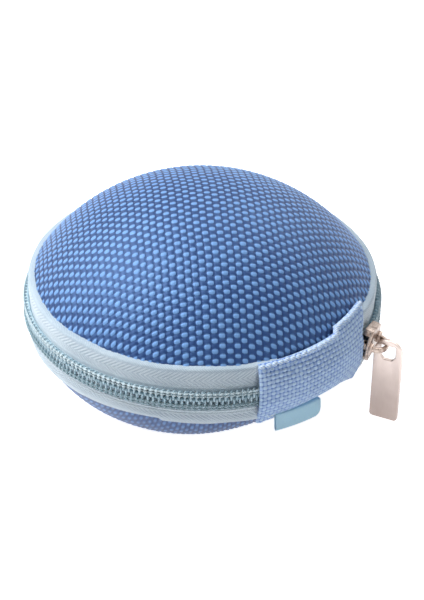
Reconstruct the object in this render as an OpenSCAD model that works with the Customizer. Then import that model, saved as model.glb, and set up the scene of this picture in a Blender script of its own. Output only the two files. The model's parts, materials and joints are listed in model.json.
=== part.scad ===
// Round zipped hard case for wired earphones.
// Millimetres, +Z up, origin at the centre of the flat that the base stands on.
// The hinge is at +Y. Angles round the case are counted from +Y towards -X.
// Heights in the sections are counted from the parting plane, where the two rows of teeth mesh.

/* [Case] */
// Diameter over the zip teeth
case_d = 80; // [72:1:96]
// Height of the domed lid above the parting plane
dome_h = 26.3; // [23:0.1:32]
// Depth of the base below the parting plane
base_depth = 20; // [18.5:0.5:26]
// Radius of the base's rounded lower edge
base_corner_r = 19; // [14:0.5:20]
// Height of the moulded shells' rims above and below the parting plane
rim_gap = 5; // [4.8:0.1:5.4]
// Thickness of the moulded foam shells
shell_t = 2.5; // [2:0.1:3.5]
// Thickness of the woven nylon cover
cover_t = 0.5; // [0.4:0.05:0.8]
// Thickness of the knitted lining
lining_t = 0.5; // [0.4:0.05:0.8]

/* [Zip] */
// Thickness of the zip tapes
tape_t = 0.55; // [0.45:0.05:0.6]
// Height of the seam between the lid's cover and the upper tape
lid_seam_z = 7.15; // [6.8:0.05:8]
// Depth of the seam between the base's cover and the lower tape
base_seam_z = 7.5; // [7.3:0.05:8]
// Distance between neighbouring coil loops of one row
coil_pitch = 1.2; // [1.1:0.05:1.5]
// Thickness of the coil from the tape outwards
coil_t = 1.2; // [1.1:0.05:1.3]
// Diameter of the coil's filament
wire_d = 0.34; // [0.3:0.02:0.4]

/* [Slider] */
// Length of the slider along the zip
slider_l = 6.8; // [6.6:0.1:7.4]
// Width of the slider's mouth, across the zip
slider_w = 8; // [7.4:0.1:8.2]
// Thickness of the slider's plates
plate_t = 0.8; // [0.7:0.05:0.85]
// Angle that the pull's weight tips the slider, outwards at its top
slider_tip = 8; // [5:0.5:8]
// Length of the pull tab
pull_l = 21; // [16:0.1:21]
// Width of the pull tab
pull_w = 6.5; // [6.2:0.1:7]
// Thickness of the pull tab
pull_t = 1; // [0.8:0.1:1.2]

/* [Hinge] */
// Half of the angle that the hinge patch covers
patch_half = 21; // [19:0.5:21]
// Thickness of the hinge patch
patch_t = 0.7; // [0.5:0.05:0.9]
// Width of the folded tag, along the seam
tag_w = 11.4; // [8:0.2:13]
// Length of the folded tag below its seam
tag_l = 3.2; // [2.8:0.2:5]

/* [Pocket] */
// Distance between the strands of the pocket's net
net_pitch = 3; // [2.8:0.1:4]
// Width of the elastic band along the pocket's mouth
band_w = 5; // [4:0.5:8]

/* [Hidden] */
$fn = 96;

// Room past a cut, so that no cut ends on a face
cut = 1;

// Zip: the coil lies on the tapes' outer faces
coil_out_r = case_d / 2;
coil_in_r = coil_out_r - coil_t;
coil_mid_r = coil_out_r - coil_t / 2;
coil_half_w = 2;
coil_mesh = 0.35;
loop_t = 0.46;
tape_edge_z = 1.15;
tape_bend_z = 2.2;
tape_in_r = coil_in_r - tape_t;
cord_r = 0.24;

// Rims of the moulded shells
lid_rim_r = coil_out_r - 2.65;
base_rim_r = coil_out_r - 2.3;
lining_in = cover_t + shell_t;
inner_in = lining_in + lining_t;

// Dome: one sphere from the crown down to the upper seam
dome_rise = dome_h - lid_seam_z;
dome_r = (lid_rim_r * lid_rim_r + dome_rise * dome_rise) / (2 * dome_rise);
dome_mid_z = dome_h - dome_r;

// Base: a flat floor and one round edge up to the lower seam
corner_z = base_corner_r - base_depth;
corner_reach = sqrt(pow(base_corner_r, 2) - pow(base_seam_z + corner_z, 2));
corner_mid_r = base_rim_r - corner_reach;

// Bindings: bias tape folded over each rim
binding_t = 0.6;
binding_leg = 1;
binding_in_r = lid_rim_r - inner_in - 0.95;
binding_z = rim_gap - binding_t;

// Slider: rest place at the closed end, beside the patch
slider_room = 0.3;
slider_az = patch_half + (slider_l / 2 + slider_room) / coil_out_r * 180 / PI;
chain_mid_r = (tape_in_r + coil_out_r) / 2;
chain_room = 0.6;
outer_plate_r = coil_out_r + chain_room;
inner_plate_r = tape_in_r - 1.25;
inner_w = 5.8;
flange_z = coil_half_w + 0.25;
outer_flange_r = coil_in_r + 0.5;
inner_flange_r = inner_plate_r + 0.3;
post_half_w = 0.9;
post_half_l = 1.5;
post_at = slider_l / 2 - post_half_l;

// Outline of the slider: a narrow tail, wide shoulders and a mouth on each side of the nose
tail_w = 5.9;
nose_w = 2.6;
shoulder_at = 1.2;
mouth_at = 1.9;
mouth_wall = 0.8;

// Bridge over the outer plate, which the pull tab hangs from
bridge_out_r = 2.95;
bridge_in_r = 2.05;
bridge_w = 1.2;
bridge_leg = 0.45;
bridge_foot_r = outer_plate_r + plate_t;
bridge_mid_r = bridge_foot_r + bridge_leg;
bar_reach = bridge_mid_r + (bridge_out_r + bridge_in_r) / 2 - chain_mid_r;
lug_l = 1.6;
lug_w = 2;
lug_h = 0.7;

// Pull tab: hangs in the plane across the zip
pivot_r = chain_mid_r + bar_reach * cos(slider_tip);
pivot_z = -bar_reach * sin(slider_tip);
pull_limb = 1.35;
pull_side = 1.5;
pull_in_r = pivot_r - 2.65;
pull_mid_r = pull_in_r + pull_w / 2;
hole_top_z = pivot_z + bridge_w / 2 + 0.15;
pull_top_z = hole_top_z + pull_limb;
head_mid_z = pull_top_z - pull_w / 2;
hole_r = pull_w / 2 - 0.95;
hole_l = 3.75;
pull_corner_r = 0.8;

// Tapes: ends tucked under the patch, and the lid's flexing lengths beside it
tuck = 7;
tape_end_az = patch_half - tuck;
flex_az = patch_half + 14;

// Coil rows: from just behind the slider's post round to the far end
loop_step = coil_pitch / coil_mid_r * 180 / PI;
row_from_az = slider_az + 0.6;
row_to_az = 360 - tape_end_az;
loop_count = floor((row_to_az - row_from_az) / loop_step);

// Hinge patch: over the tape ends, with one upper corner carried past the slider
patch_out_r = coil_out_r + patch_t;
patch_side_r = patch_out_r - 0.8;
patch_side_z = 5;
patch_top_z = lid_seam_z + 0.85;
patch_low_z = base_seam_z + 0.7;
patch_flare = 5.4;
flare_from_z = 3.5;
flare_reach = patch_flare / 180 * PI * lid_rim_r;
backing_t = 0.6;
backing_half = patch_half - 1;

// Folded tag on the lower part of the patch
tag_az = -7.4;
tag_layer = 0.4;
tag_gap = 0.25;
tag_lean = 12;
tag_top_z = 6.4;
patch_low_r = base_rim_r + 1;
tag_slope = (patch_side_r - patch_low_r) / (patch_low_z - patch_side_z);
tag_r = patch_side_r - tag_slope * (tag_top_z - patch_side_z);
tag_span = tag_w / tag_r * 180 / PI;

// Pocket in the lid: a net sewn to the rim, with an elastic band along its mouth
net_t = 0.4;
strand_w = 0.5;
band_t = 0.9;
band_y = -2;
net_z = rim_gap + binding_leg;
net_r = binding_in_r + 0.6;
band_r = binding_in_r + 0.2;

nylon_colour = [0.36, 0.52, 0.78];
tape_colour = [0.78, 0.85, 0.88];
coil_colour = [0.66, 0.76, 0.80];
patch_colour = [0.58, 0.69, 0.86];
tag_colour = [0.62, 0.78, 0.88];
metal_colour = [0.84, 0.78, 0.75];
foam_colour = [0.20, 0.21, 0.24];
lining_colour = [0.24, 0.27, 0.33];

// ---- Helpers ----

// Raises a piece drawn about the parting plane to its place in the case
module at_parting() translate([0, 0, base_depth]) children();

// Turns a section in (radius, height) round the case, from one angle to another
module sweep(from_az, to_az)
    at_parting() rotate([0, 0, 90 + from_az]) rotate_extrude(angle = to_az - from_az) children();

// Local frame at an angle round the case: +Y outwards, X along the zip
module at_az(az) at_parting() rotate([0, 0, az]) children();

// Extrudes a section in (radius, height) along the zip, centred on the local frame
module along_zip(length)
    rotate([90, 0, 90]) linear_extrude(height = length, center = true) children();

// Extrudes an outline in (along the zip, height) outwards from one radius to another
module outwards(from_r, to_r)
    translate([0, to_r, 0]) rotate([90, 0, 0]) linear_extrude(height = to_r - from_r) children();

// A slot with round ends between two heights
module slot_section(mid_r, from_z, to_z, half_w) {
    translate([mid_r, from_z]) circle(r = half_w);
    translate([mid_r, to_z]) circle(r = half_w);
    translate([mid_r - half_w, from_z]) square([2 * half_w, to_z - from_z]);
}

// ---- Sections ----

// Outline of the lid, drawn in by inset and cut off at the bottom height
module lid_section(inset, bottom)
    intersection() {
        translate([0, bottom]) square([lid_rim_r - inset, dome_h - bottom]);
        translate([0, dome_mid_z]) circle(r = dome_r - inset);
    }

// One layer of the lid
module lid_layer(inset, thick)
    at_parting() rotate_extrude() difference() {
        lid_section(inset, rim_gap);
        lid_section(inset + thick, rim_gap - cut);
    }

// Outline of the base, drawn in by inset and cut off at the top height
module base_section(inset, top)
    intersection() {
        translate([0, inset - base_depth]) square([base_rim_r - inset, base_depth - inset + top]);
        union() {
            translate([corner_mid_r, corner_z]) circle(r = base_corner_r - inset);
            translate([0, -base_depth]) square([corner_mid_r, base_depth]);
            translate([0, corner_z]) square([base_rim_r, base_depth]);
        }
    }

// One layer of the base
module base_layer(inset, thick)
    at_parting() rotate_extrude() difference() {
        base_section(inset, -rim_gap);
        base_section(inset + thick, cut - rim_gap);
    }

// Zip tape: flat under the coil, sloping to the rim and lapped over the cover; side is 1 up, -1 down
module tape_section(side, rim_r, seam_z)
    polygon([
        [tape_in_r, side * tape_edge_z],
        [tape_in_r, side * tape_bend_z],
        [rim_r, side * rim_gap],
        [rim_r, side * seam_z],
        [rim_r + tape_t, side * seam_z],
        [rim_r + tape_t, side * rim_gap],
        [coil_in_r, side * tape_bend_z],
        [coil_in_r, side * tape_edge_z]
    ]);

// Binding: an angle over the rim's face and a little of its inner wall
module binding_section(side, rim_r) {
    leg_t = rim_r - inner_in - binding_in_r;
    low_z = side > 0 ? binding_z : -rim_gap;
    leg_z = side > 0 ? binding_z : -rim_gap - binding_leg;
    translate([binding_in_r, low_z]) square([rim_r - binding_in_r, binding_t]);
    translate([binding_in_r, leg_z]) square([leg_t, binding_t + binding_leg]);
}

// Hinge patch: over the coil in the middle, down on the tapes and covers at its edges
module patch_section()
    polygon([
        [lid_rim_r - 0.5, patch_top_z],
        [lid_rim_r + tape_t, lid_seam_z],
        [lid_rim_r + tape_t, rim_gap],
        [coil_out_r, tape_bend_z],
        [coil_out_r, -tape_bend_z],
        [base_rim_r + tape_t, -rim_gap],
        [base_rim_r + tape_t, -base_seam_z],
        [base_rim_r - 0.2, -patch_low_z],
        [patch_low_r, -patch_low_z],
        [patch_side_r, -patch_side_z],
        [patch_out_r, -tape_bend_z],
        [patch_out_r, tape_bend_z],
        [patch_side_r, patch_side_z],
        [lid_rim_r + 0.9, patch_top_z]
    ]);

// Folded tag: two layers joined by a fold at the lower end
module tag_section()
    translate([tag_r, -tag_top_z]) rotate(tag_lean) {
        translate([0, -tag_l]) square([tag_layer, tag_l]);
        translate([tag_layer + tag_gap, -tag_l]) square([tag_layer, tag_l]);
        translate([tag_layer + tag_gap / 2, -tag_l]) difference() {
            circle(r = tag_layer + tag_gap / 2);
            circle(r = tag_gap / 2);
            translate([-tag_w, 0]) square([2 * tag_w, tag_w]);
        }
    }

// ---- Lid ----

module lid_cover() color(nylon_colour) lid_layer(0, cover_t);

module lid_shell() color(foam_colour) lid_layer(cover_t, shell_t);

module lid_lining() color(lining_colour) lid_layer(lining_in, lining_t);

module lid_binding() color(lining_colour) at_parting() rotate_extrude() binding_section(1, lid_rim_r);

// Half-moon net: strands both ways between the band and the rim
module pocket_net() {
    net_from_y = band_y + band_w;
    strands = ceil(net_r / net_pitch);
    color(tape_colour) at_parting() translate([0, 0, net_z]) linear_extrude(height = net_t)
        intersection() {
            circle(r = net_r);
            translate([-net_r, net_from_y]) square([2 * net_r, net_r]);
            union() {
                for (i = [-strands : strands])
                    translate([i * net_pitch - strand_w / 2, 0]) square([strand_w, net_r]);
                for (i = [0 : strands])
                    translate([-net_r, net_from_y + i * net_pitch]) square([2 * net_r, strand_w]);
                difference() {
                    circle(r = net_r + cut);
                    circle(r = net_r - 2 * strand_w);
                }
            }
        }
}

// Elastic band along the mouth of the pocket
module pocket_band()
    color(nylon_colour) at_parting() translate([0, 0, net_z]) linear_extrude(height = band_t)
        intersection() {
            circle(r = band_r);
            translate([-band_r, band_y]) square([2 * band_r, band_w]);
        }

// ---- Base ----

module base_cover() color(nylon_colour) base_layer(0, cover_t);

module base_shell() color(foam_colour) base_layer(cover_t, shell_t);

module base_lining() color(lining_colour) base_layer(lining_in, lining_t);

module base_binding() color(lining_colour) at_parting() rotate_extrude() binding_section(-1, base_rim_r);

// ---- Zip ----

module lower_tape()
    color(tape_colour) sweep(tape_end_az, 360 - tape_end_az) tape_section(-1, base_rim_r, base_seam_z);

module upper_tape()
    color(tape_colour) sweep(flex_az, 360 - flex_az) tape_section(1, lid_rim_r, lid_seam_z);

module upper_tape_end_left()
    color(tape_colour) sweep(tape_end_az, flex_az) tape_section(1, lid_rim_r, lid_seam_z);

module upper_tape_end_right()
    color(tape_colour) sweep(360 - flex_az, 360 - tape_end_az) tape_section(1, lid_rim_r, lid_seam_z);

// One loop of the coil: a flattened ring whose head passes the parting plane
module coil_loop()
    along_zip(loop_t) difference() {
        slot_section(coil_mid_r, coil_t / 2 - coil_mesh, coil_half_w - coil_t / 2, coil_t / 2);
        slot_section(coil_mid_r, coil_t / 2 - coil_mesh, coil_half_w - coil_t / 2, coil_t / 2 - wire_d);
    }

// A row of loops; the lower row is a mirror image, half a step on, so that its heads mesh
module coil_row(side, shift)
    for (i = [0 : loop_count - 1])
        at_az(row_from_az + (i + shift) * loop_step) mirror([0, 0, side > 0 ? 0 : 1]) coil_loop();

module upper_coil() color(coil_colour) coil_row(1, 0);

module lower_coil() color(coil_colour) coil_row(-1, 0.5);

// Filler cord that runs through the loops of one row
module row_cord(side)
    sweep(row_from_az - loop_step / 2, row_to_az)
        translate([coil_in_r + wire_d + cord_r, side * (coil_half_w - coil_t / 2)]) circle(r = cord_r);

module upper_cord() color(tape_colour) row_cord(1);

module lower_cord() color(tape_colour) row_cord(-1);

// ---- Slider ----

// Tips a piece drawn square to the zip about the middle of the chain
module at_slider()
    at_az(slider_az) translate([0, chain_mid_r, 0]) rotate([-slider_tip, 0, 0])
        translate([0, -chain_mid_r, 0]) children();

// Outline of the outer plate, tail at -X and nose at +X
module slider_outline()
    polygon([
        [-slider_l / 2, -tail_w / 2],
        [-slider_l / 2, tail_w / 2],
        [shoulder_at, slider_w / 2],
        [mouth_at, slider_w / 2],
        [slider_l / 2, nose_w / 2],
        [slider_l / 2, -nose_w / 2],
        [mouth_at, -slider_w / 2],
        [shoulder_at, -slider_w / 2]
    ]);

// Outline of the inner plate, trimmed so that it clears the tapes
module inner_outline()
    intersection() {
        slider_outline();
        square([2 * slider_l, inner_w], center = true);
    }

// Path of the two rows: straight at the tail, spreading to the mouths
module channel_outline() {
    mouth_half = slider_w / 2 - mouth_wall;
    polygon([
        [-slider_l, -flange_z],
        [-slider_l, flange_z],
        [-shoulder_at, flange_z],
        [slider_l / 2, mouth_half],
        [slider_l, mouth_half],
        [slider_l, -mouth_half],
        [slider_l / 2, -mouth_half],
        [-shoulder_at, -flange_z]
    ]);
}

// Diamond post that parts the rows at the closed end
module post_outline() {
    arc_r = (pow(post_half_l, 2) + pow(post_half_w, 2)) / (2 * post_half_w);
    translate([post_at, 0]) intersection() {
        translate([0, arc_r - post_half_w]) circle(r = arc_r);
        translate([0, post_half_w - arc_r]) circle(r = arc_r);
    }
}

// Half circle on two straight legs, open at the bottom
module staple_outline(r)
    union() {
        circle(r = r);
        translate([-r, -r]) square([2 * r, r]);
    }

// Arched bar along the zip, from the outer plate's face up
module bridge_solid()
    intersection() {
        translate([0, bridge_mid_r, 0]) linear_extrude(height = bridge_w, center = true) difference() {
            staple_outline(bridge_out_r);
            staple_outline(bridge_in_r);
        }
        translate([-slider_l, bridge_foot_r, -slider_w])
            cube([2 * slider_l, 2 * bridge_out_r, 2 * slider_w]);
    }

// Lug that holds one foot of the bridge; end is -1 at the tail and 1 at the nose
module lug(end)
    difference() {
        translate([end * (slider_l - lug_l) / 2, bridge_foot_r + lug_h / 2, 0])
            cube([lug_l, lug_h, lug_w], center = true);
        bridge_solid();
    }

module slider_body()
    color(metal_colour) at_slider() {
        outwards(outer_plate_r, bridge_foot_r) slider_outline();
        outwards(inner_plate_r - plate_t, inner_plate_r) inner_outline();
        outwards(outer_flange_r, outer_plate_r) difference() {
            slider_outline();
            channel_outline();
        }
        outwards(inner_plate_r, inner_flange_r) difference() {
            inner_outline();
            channel_outline();
        }
        outwards(inner_plate_r, outer_plate_r) post_outline();
        lug(-1);
        lug(1);
    }

module slider_bridge() color(metal_colour) at_slider() bridge_solid();

// Outline of the pull tab in (radius, height): a round head over a straight tab
module pull_outline() {
    foot_z = pull_top_z - pull_l;
    translate([pull_mid_r, head_mid_z]) circle(r = pull_w / 2);
    translate([pull_in_r, foot_z + pull_corner_r])
        square([pull_w, head_mid_z - foot_z - pull_corner_r]);
    translate([pull_in_r + pull_corner_r, foot_z]) square([pull_w - 2 * pull_corner_r, pull_corner_r + cut]);
    for (r = [pull_in_r + pull_corner_r, pull_in_r + pull_w - pull_corner_r])
        translate([r, foot_z + pull_corner_r]) circle(r = pull_corner_r);
}

// Opening in the head that the bridge passes through: round, with flattened top, foot and sides
module pull_hole()
    intersection() {
        translate([pull_mid_r, head_mid_z]) circle(r = hole_r);
        translate([pull_in_r + pull_side, hole_top_z - hole_l]) square([pull_w - 2 * pull_side, hole_l]);
    }

module pull_tab()
    color(metal_colour) at_az(slider_az) along_zip(pull_t) difference() {
        pull_outline();
        pull_hole();
    }

// ---- Hinge ----

// Band from the left edge to the flared corner, cut back to the right edge below the flare
module hinge_patch()
    color(patch_colour) difference() {
        sweep(-patch_half, patch_half + patch_flare) patch_section();
        at_az(patch_half) outwards(0, case_d) polygon([
            [0, -case_d],
            [0, flare_from_z],
            [-2 * flare_reach, 2 * patch_top_z - flare_from_z],
            [-case_d, 2 * patch_top_z - flare_from_z],
            [-case_d, -case_d]
        ]);
    }

// Inner strip between the two bindings, behind the patch
module hinge_backing()
    color(lining_colour) sweep(-backing_half, backing_half)
        translate([lid_rim_r - backing_t - 0.05, -binding_z]) square([backing_t, 2 * binding_z]);

module side_tag()
    color(tag_colour) sweep(tag_az - tag_span / 2, tag_az + tag_span / 2) tag_section();

base_cover();
base_shell();
base_lining();
base_binding();
lower_tape();
lower_coil();
lower_cord();
lid_cover();
lid_shell();
lid_lining();
lid_binding();
upper_tape();
upper_tape_end_left();
upper_tape_end_right();
upper_coil();
upper_cord();
pocket_net();
pocket_band();
hinge_patch();
hinge_backing();
side_tag();
slider_body();
slider_bridge();
pull_tab();
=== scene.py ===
"""Looks of a round zipped earphone case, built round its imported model.

Lengths are millimetres and become metres where a mesh is made. Heights are counted from the parting
plane, where the two rows of teeth mesh. Angles round the case are degrees from +Y, the hinge, towards -X.
"""

import json
import math

import bmesh
import bpy
import numpy as np
from mathutils import Matrix, Quaternion, Vector


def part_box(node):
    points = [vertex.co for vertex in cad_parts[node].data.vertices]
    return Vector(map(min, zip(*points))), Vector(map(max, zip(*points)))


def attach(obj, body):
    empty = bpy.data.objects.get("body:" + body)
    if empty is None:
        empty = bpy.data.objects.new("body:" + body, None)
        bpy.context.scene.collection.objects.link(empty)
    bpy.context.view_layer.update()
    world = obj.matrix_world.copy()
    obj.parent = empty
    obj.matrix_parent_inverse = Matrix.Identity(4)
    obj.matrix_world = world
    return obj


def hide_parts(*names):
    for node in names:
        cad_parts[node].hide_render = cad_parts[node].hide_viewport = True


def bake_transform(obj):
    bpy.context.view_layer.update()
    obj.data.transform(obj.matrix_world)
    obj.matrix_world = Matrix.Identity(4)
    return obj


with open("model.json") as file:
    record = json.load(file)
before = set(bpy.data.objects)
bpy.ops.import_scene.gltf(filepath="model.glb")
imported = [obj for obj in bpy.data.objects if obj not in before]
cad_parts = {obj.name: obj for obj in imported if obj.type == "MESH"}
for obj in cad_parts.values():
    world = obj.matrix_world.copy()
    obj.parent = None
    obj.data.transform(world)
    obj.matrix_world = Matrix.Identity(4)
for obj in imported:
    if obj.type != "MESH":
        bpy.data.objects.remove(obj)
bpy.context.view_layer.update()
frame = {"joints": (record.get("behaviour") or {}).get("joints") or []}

MM = 0.001
TURN = 2 * math.pi


# ---- Sizes, read from the frame ----

def node_low(node):
    return Vector(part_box(node)[0]) / MM


def node_high(node):
    return Vector(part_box(node)[1]) / MM


def joint(name):
    return next(j for j in frame["joints"] if j["name"] == name)


PARTING = (node_low("lower_coil").z + node_high("upper_coil").z) / 2
DEPTH = PARTING - node_low("base_cover").z
CROWN = node_high("lid_cover").z - PARTING
RIM_GAP = node_low("lid_cover").z - PARTING
LID_R = node_high("lid_cover").x
BASE_R = node_high("base_cover").x
LID_SEAM = node_high("upper_tape").z - PARTING
BASE_SEAM = PARTING - node_low("lower_tape").z
COIL_R = node_high("upper_coil").x
COIL_HALF = node_high("upper_coil").z - PARTING
CORD_OUT_R = node_high("upper_cord").x
TAPE_EDGE = node_low("upper_tape").z - PARTING
TAPE_T = node_high("upper_tape").x - LID_R
PATCH_TOP = node_high("hinge_patch").z - PARTING
PATCH_LOW = PARTING - node_low("hinge_patch").z
PATCH_R = node_high("hinge_patch").y
NET_Z = node_low("pocket_net").z - PARTING
NET_R = node_high("pocket_net").y
NET_Y = node_low("pocket_net").y
BAND_Y = node_low("pocket_band").y
BAND_R = node_high("pocket_band").x
BAND_T = node_high("pocket_band").z - node_low("pocket_band").z
LID_LINING_R = node_high("lid_lining").x
LINING_T = 0.5
BINDING_T = RIM_GAP - (node_low("lid_binding").z - PARTING)
BINDING_LEG = node_high("lid_binding").z - PARTING - RIM_GAP
BINDING_IN_R = LID_LINING_R - LINING_T - 0.95

# Dome: one sphere from the crown to the upper seam
DOME_RISE = CROWN - LID_SEAM
DOME_R = (LID_R ** 2 + DOME_RISE ** 2) / (2 * DOME_RISE)
DOME_MID = CROWN - DOME_R

# Base: a flat floor with a round edge up to the lower seam
CORNER_R = 19
CORNER_MID_Z = CORNER_R - DEPTH
CORNER_MID_R = BASE_R - math.sqrt(CORNER_R ** 2 - (BASE_SEAM + CORNER_MID_Z) ** 2)

# Zip
PIVOT = Vector(joint("pull_swing")["pos_m"]) / MM
PIVOT_R = math.hypot(PIVOT.x, PIVOT.y)
PIVOT_Z = PIVOT.z - PARTING
SLIDER_AZ = math.degrees(math.atan2(-PIVOT.x, PIVOT.y))
COIL_T = 1.2
COIL_IN_R = COIL_R - COIL_T
COIL_MID_R = COIL_R - COIL_T / 2
COIL_PITCH = 1.2
LOOP_STEP = math.degrees(COIL_PITCH / COIL_MID_R)
ROW_FROM = SLIDER_AZ + 0.6
TAPE_BEND = 2.2
TAPE_IN_R = COIL_IN_R - TAPE_T
CHAIN_MID_R = (TAPE_IN_R + COIL_R) / 2
SLIDER_TIP = math.atan2(-PIVOT_Z, PIVOT_R - CHAIN_MID_R)
TAPE_END = 14
FLEX_END = 35
ROW_TO = 360 - TAPE_END
LOOPS = int((ROW_TO - ROW_FROM) / LOOP_STEP)

# Hinge
PATCH_HALF = 21
PATCH_FLARE = 5.4
FLARE_FROM = 3.5
PATCH_SIDE_R = PATCH_R - 0.8
PATCH_LOW_R = BASE_R + 1.0


# ---- Camera ----

# Where the photograph was taken from, seen from the middle of the parting plane
CAMERA_AZ = -38.6
CAMERA_ELEVATION = 33.9
CAMERA_DISTANCE = 400
CAMERA_ROLL = 0.69
CAMERA_LENS = 106.3
CAMERA_SHIFT = (0.0163, -0.0100)


def level(az):
    """Unit vector that points level outwards at an angle round the case."""
    return Vector((-math.sin(math.radians(az)), math.cos(math.radians(az)), 0))


def direction(az, elevation):
    """Unit vector that points outwards at an angle round the case, raised by an elevation in degrees."""
    elevation = math.radians(elevation)
    return level(az) * math.cos(elevation) + Vector((0, 0, math.sin(elevation)))


def placed(name, data):
    """A new object in the scene that shows this data."""
    item = bpy.data.objects.new(name, data)
    bpy.context.collection.objects.link(item)
    return item


def make_camera():
    back = direction(CAMERA_AZ, CAMERA_ELEVATION)
    data = bpy.data.cameras.new("camera")
    data.lens = CAMERA_LENS
    data.shift_x, data.shift_y = CAMERA_SHIFT
    camera = placed("camera", data)
    camera.location = (Vector((0, 0, PARTING)) + back * CAMERA_DISTANCE) * MM
    roll = Quaternion(back, math.radians(CAMERA_ROLL))
    camera.rotation_euler = (roll @ back.to_track_quat("Z", "Y")).to_euler()
    bpy.context.scene.camera = camera


# ---- Shader values ----

def feed(tree, slot, item):
    """Gives a node's input a Value, another node's output, or a plain number or colour."""
    if isinstance(item, Value):
        tree.links.new(item.socket, slot)
    elif isinstance(item, bpy.types.NodeSocket):
        tree.links.new(item, slot)
    else:
        slot.default_value = item


class Value:
    """A shader number. Arithmetic on it adds Math nodes to its material."""

    def __init__(self, tree, socket):
        self.tree = tree
        self.socket = socket

    def math(self, operation, *others):
        node = self.tree.nodes.new("ShaderNodeMath")
        node.operation = operation
        for slot, item in zip(node.inputs, (self, *others)):
            feed(self.tree, slot, item)
        return Value(self.tree, node.outputs[0])

    def __add__(self, other):
        return self.math("ADD", other)

    def __sub__(self, other):
        return self.math("SUBTRACT", other)

    def __mul__(self, other):
        return self.math("MULTIPLY", other)

    def wave(self):
        """From 0 to 1 and back, once for each whole number."""
        return (self * TURN).math("COSINE") * -0.5 + 0.5

    def floor(self):
        return self.math("FLOOR")

    def between(self, low, high):
        """0 below low, 1 above high, and smooth between them."""
        node = self.tree.nodes.new("ShaderNodeMapRange")
        node.interpolation_type = "SMOOTHSTEP"
        self.tree.links.new(self.socket, node.inputs["Value"])
        node.inputs["From Min"].default_value = low
        node.inputs["From Max"].default_value = high
        return Value(self.tree, node.outputs["Result"])


def srgb(red, green, blue):
    """Colour for a node, from display values of 0 to 255."""
    def linear(c):
        c /= 255
        return c / 12.92 if c <= 0.04045 else ((c + 0.055) / 1.055) ** 2.4
    return (linear(red), linear(green), linear(blue), 1)


class Finish:
    """A material with the few node groups that every finish here needs."""

    def __init__(self, name, roughness, specular=0.5, metallic=0.0, sheen=0.0):
        self.material = bpy.data.materials.new(name)
        self.material.use_nodes = True
        self.tree = self.material.node_tree
        self.shader = self.tree.nodes["Principled BSDF"]
        self.shader.inputs["Roughness"].default_value = roughness
        self.shader.inputs["Specular IOR Level"].default_value = specular
        self.shader.inputs["Metallic"].default_value = metallic
        self.shader.inputs["Sheen Weight"].default_value = sheen
        self.shader.inputs["Sheen Roughness"].default_value = 0.4

    def node(self, kind):
        return self.tree.nodes.new(kind)

    def mark(self, name):
        """A number that the mesh holds at each point."""
        node = self.node("ShaderNodeAttribute")
        node.attribute_name = name
        return Value(self.tree, node.outputs["Fac"])

    def cloth_place(self):
        """The place on the cloth, as two Values in the units of the mesh's cloth map."""
        uv = self.node("ShaderNodeUVMap")
        uv.uv_map = "cloth"
        split = self.node("ShaderNodeSeparateXYZ")
        self.tree.links.new(uv.outputs["UV"], split.inputs[0])
        return Value(self.tree, split.outputs["X"]), Value(self.tree, split.outputs["Y"])

    def object_place(self):
        """The place on the object, in millimetres."""
        place = self.node("ShaderNodeTexCoord")
        scale = self.node("ShaderNodeVectorMath")
        scale.operation = "SCALE"
        scale.inputs["Scale"].default_value = 1 / MM
        self.tree.links.new(place.outputs["Object"], scale.inputs[0])
        return scale.outputs[0]

    def rise(self):
        """Height in millimetres above the floor, in the rest pose."""
        split = self.node("ShaderNodeSeparateXYZ")
        self.tree.links.new(self.object_place(), split.inputs[0])
        return Value(self.tree, split.outputs["Z"])

    def joined(self, x, y, z=0.0):
        """A vector of Values or numbers."""
        node = self.node("ShaderNodeCombineXYZ")
        for slot, item in zip(node.inputs, (x, y, z)):
            feed(self.tree, slot, item)
        return node.outputs[0]

    def noise(self, vector, scale=1.0, detail=2.0, rough=0.5):
        node = self.node("ShaderNodeTexNoise")
        node.inputs["Scale"].default_value = scale
        node.inputs["Detail"].default_value = detail
        node.inputs["Roughness"].default_value = rough
        self.tree.links.new(vector, node.inputs["Vector"])
        return Value(self.tree, node.outputs["Fac"])

    def mix(self, amount, first, second):
        """Colour between two colours or sockets."""
        node = self.node("ShaderNodeMix")
        node.data_type = "RGBA"
        self.tree.links.new(amount.socket, node.inputs["Factor"])
        for slot, item in (("A", first), ("B", second)):
            feed(self.tree, next(s for s in node.inputs if s.name == slot and s.type == "RGBA"), item)
        return next(s for s in node.outputs if s.type == "RGBA")

    def colour(self, socket):
        self.tree.links.new(socket, self.shader.inputs["Base Color"])

    def tone(self, amount, dark, light):
        """Colours the piece from dark, where the amount is 0, to light, where it is 1."""
        self.colour(self.mix(amount, dark, light))

    def roughness(self, value):
        self.tree.links.new(value.socket, self.shader.inputs["Roughness"])

    def bump(self, height, distance):
        """Relief of that many millimetres where the height goes from 0 to 1."""
        node = self.node("ShaderNodeBump")
        node.inputs["Distance"].default_value = distance * MM
        self.tree.links.new(height.socket, node.inputs["Height"])
        self.tree.links.new(node.outputs["Normal"], self.shader.inputs["Normal"])


# ---- Materials ----

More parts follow.
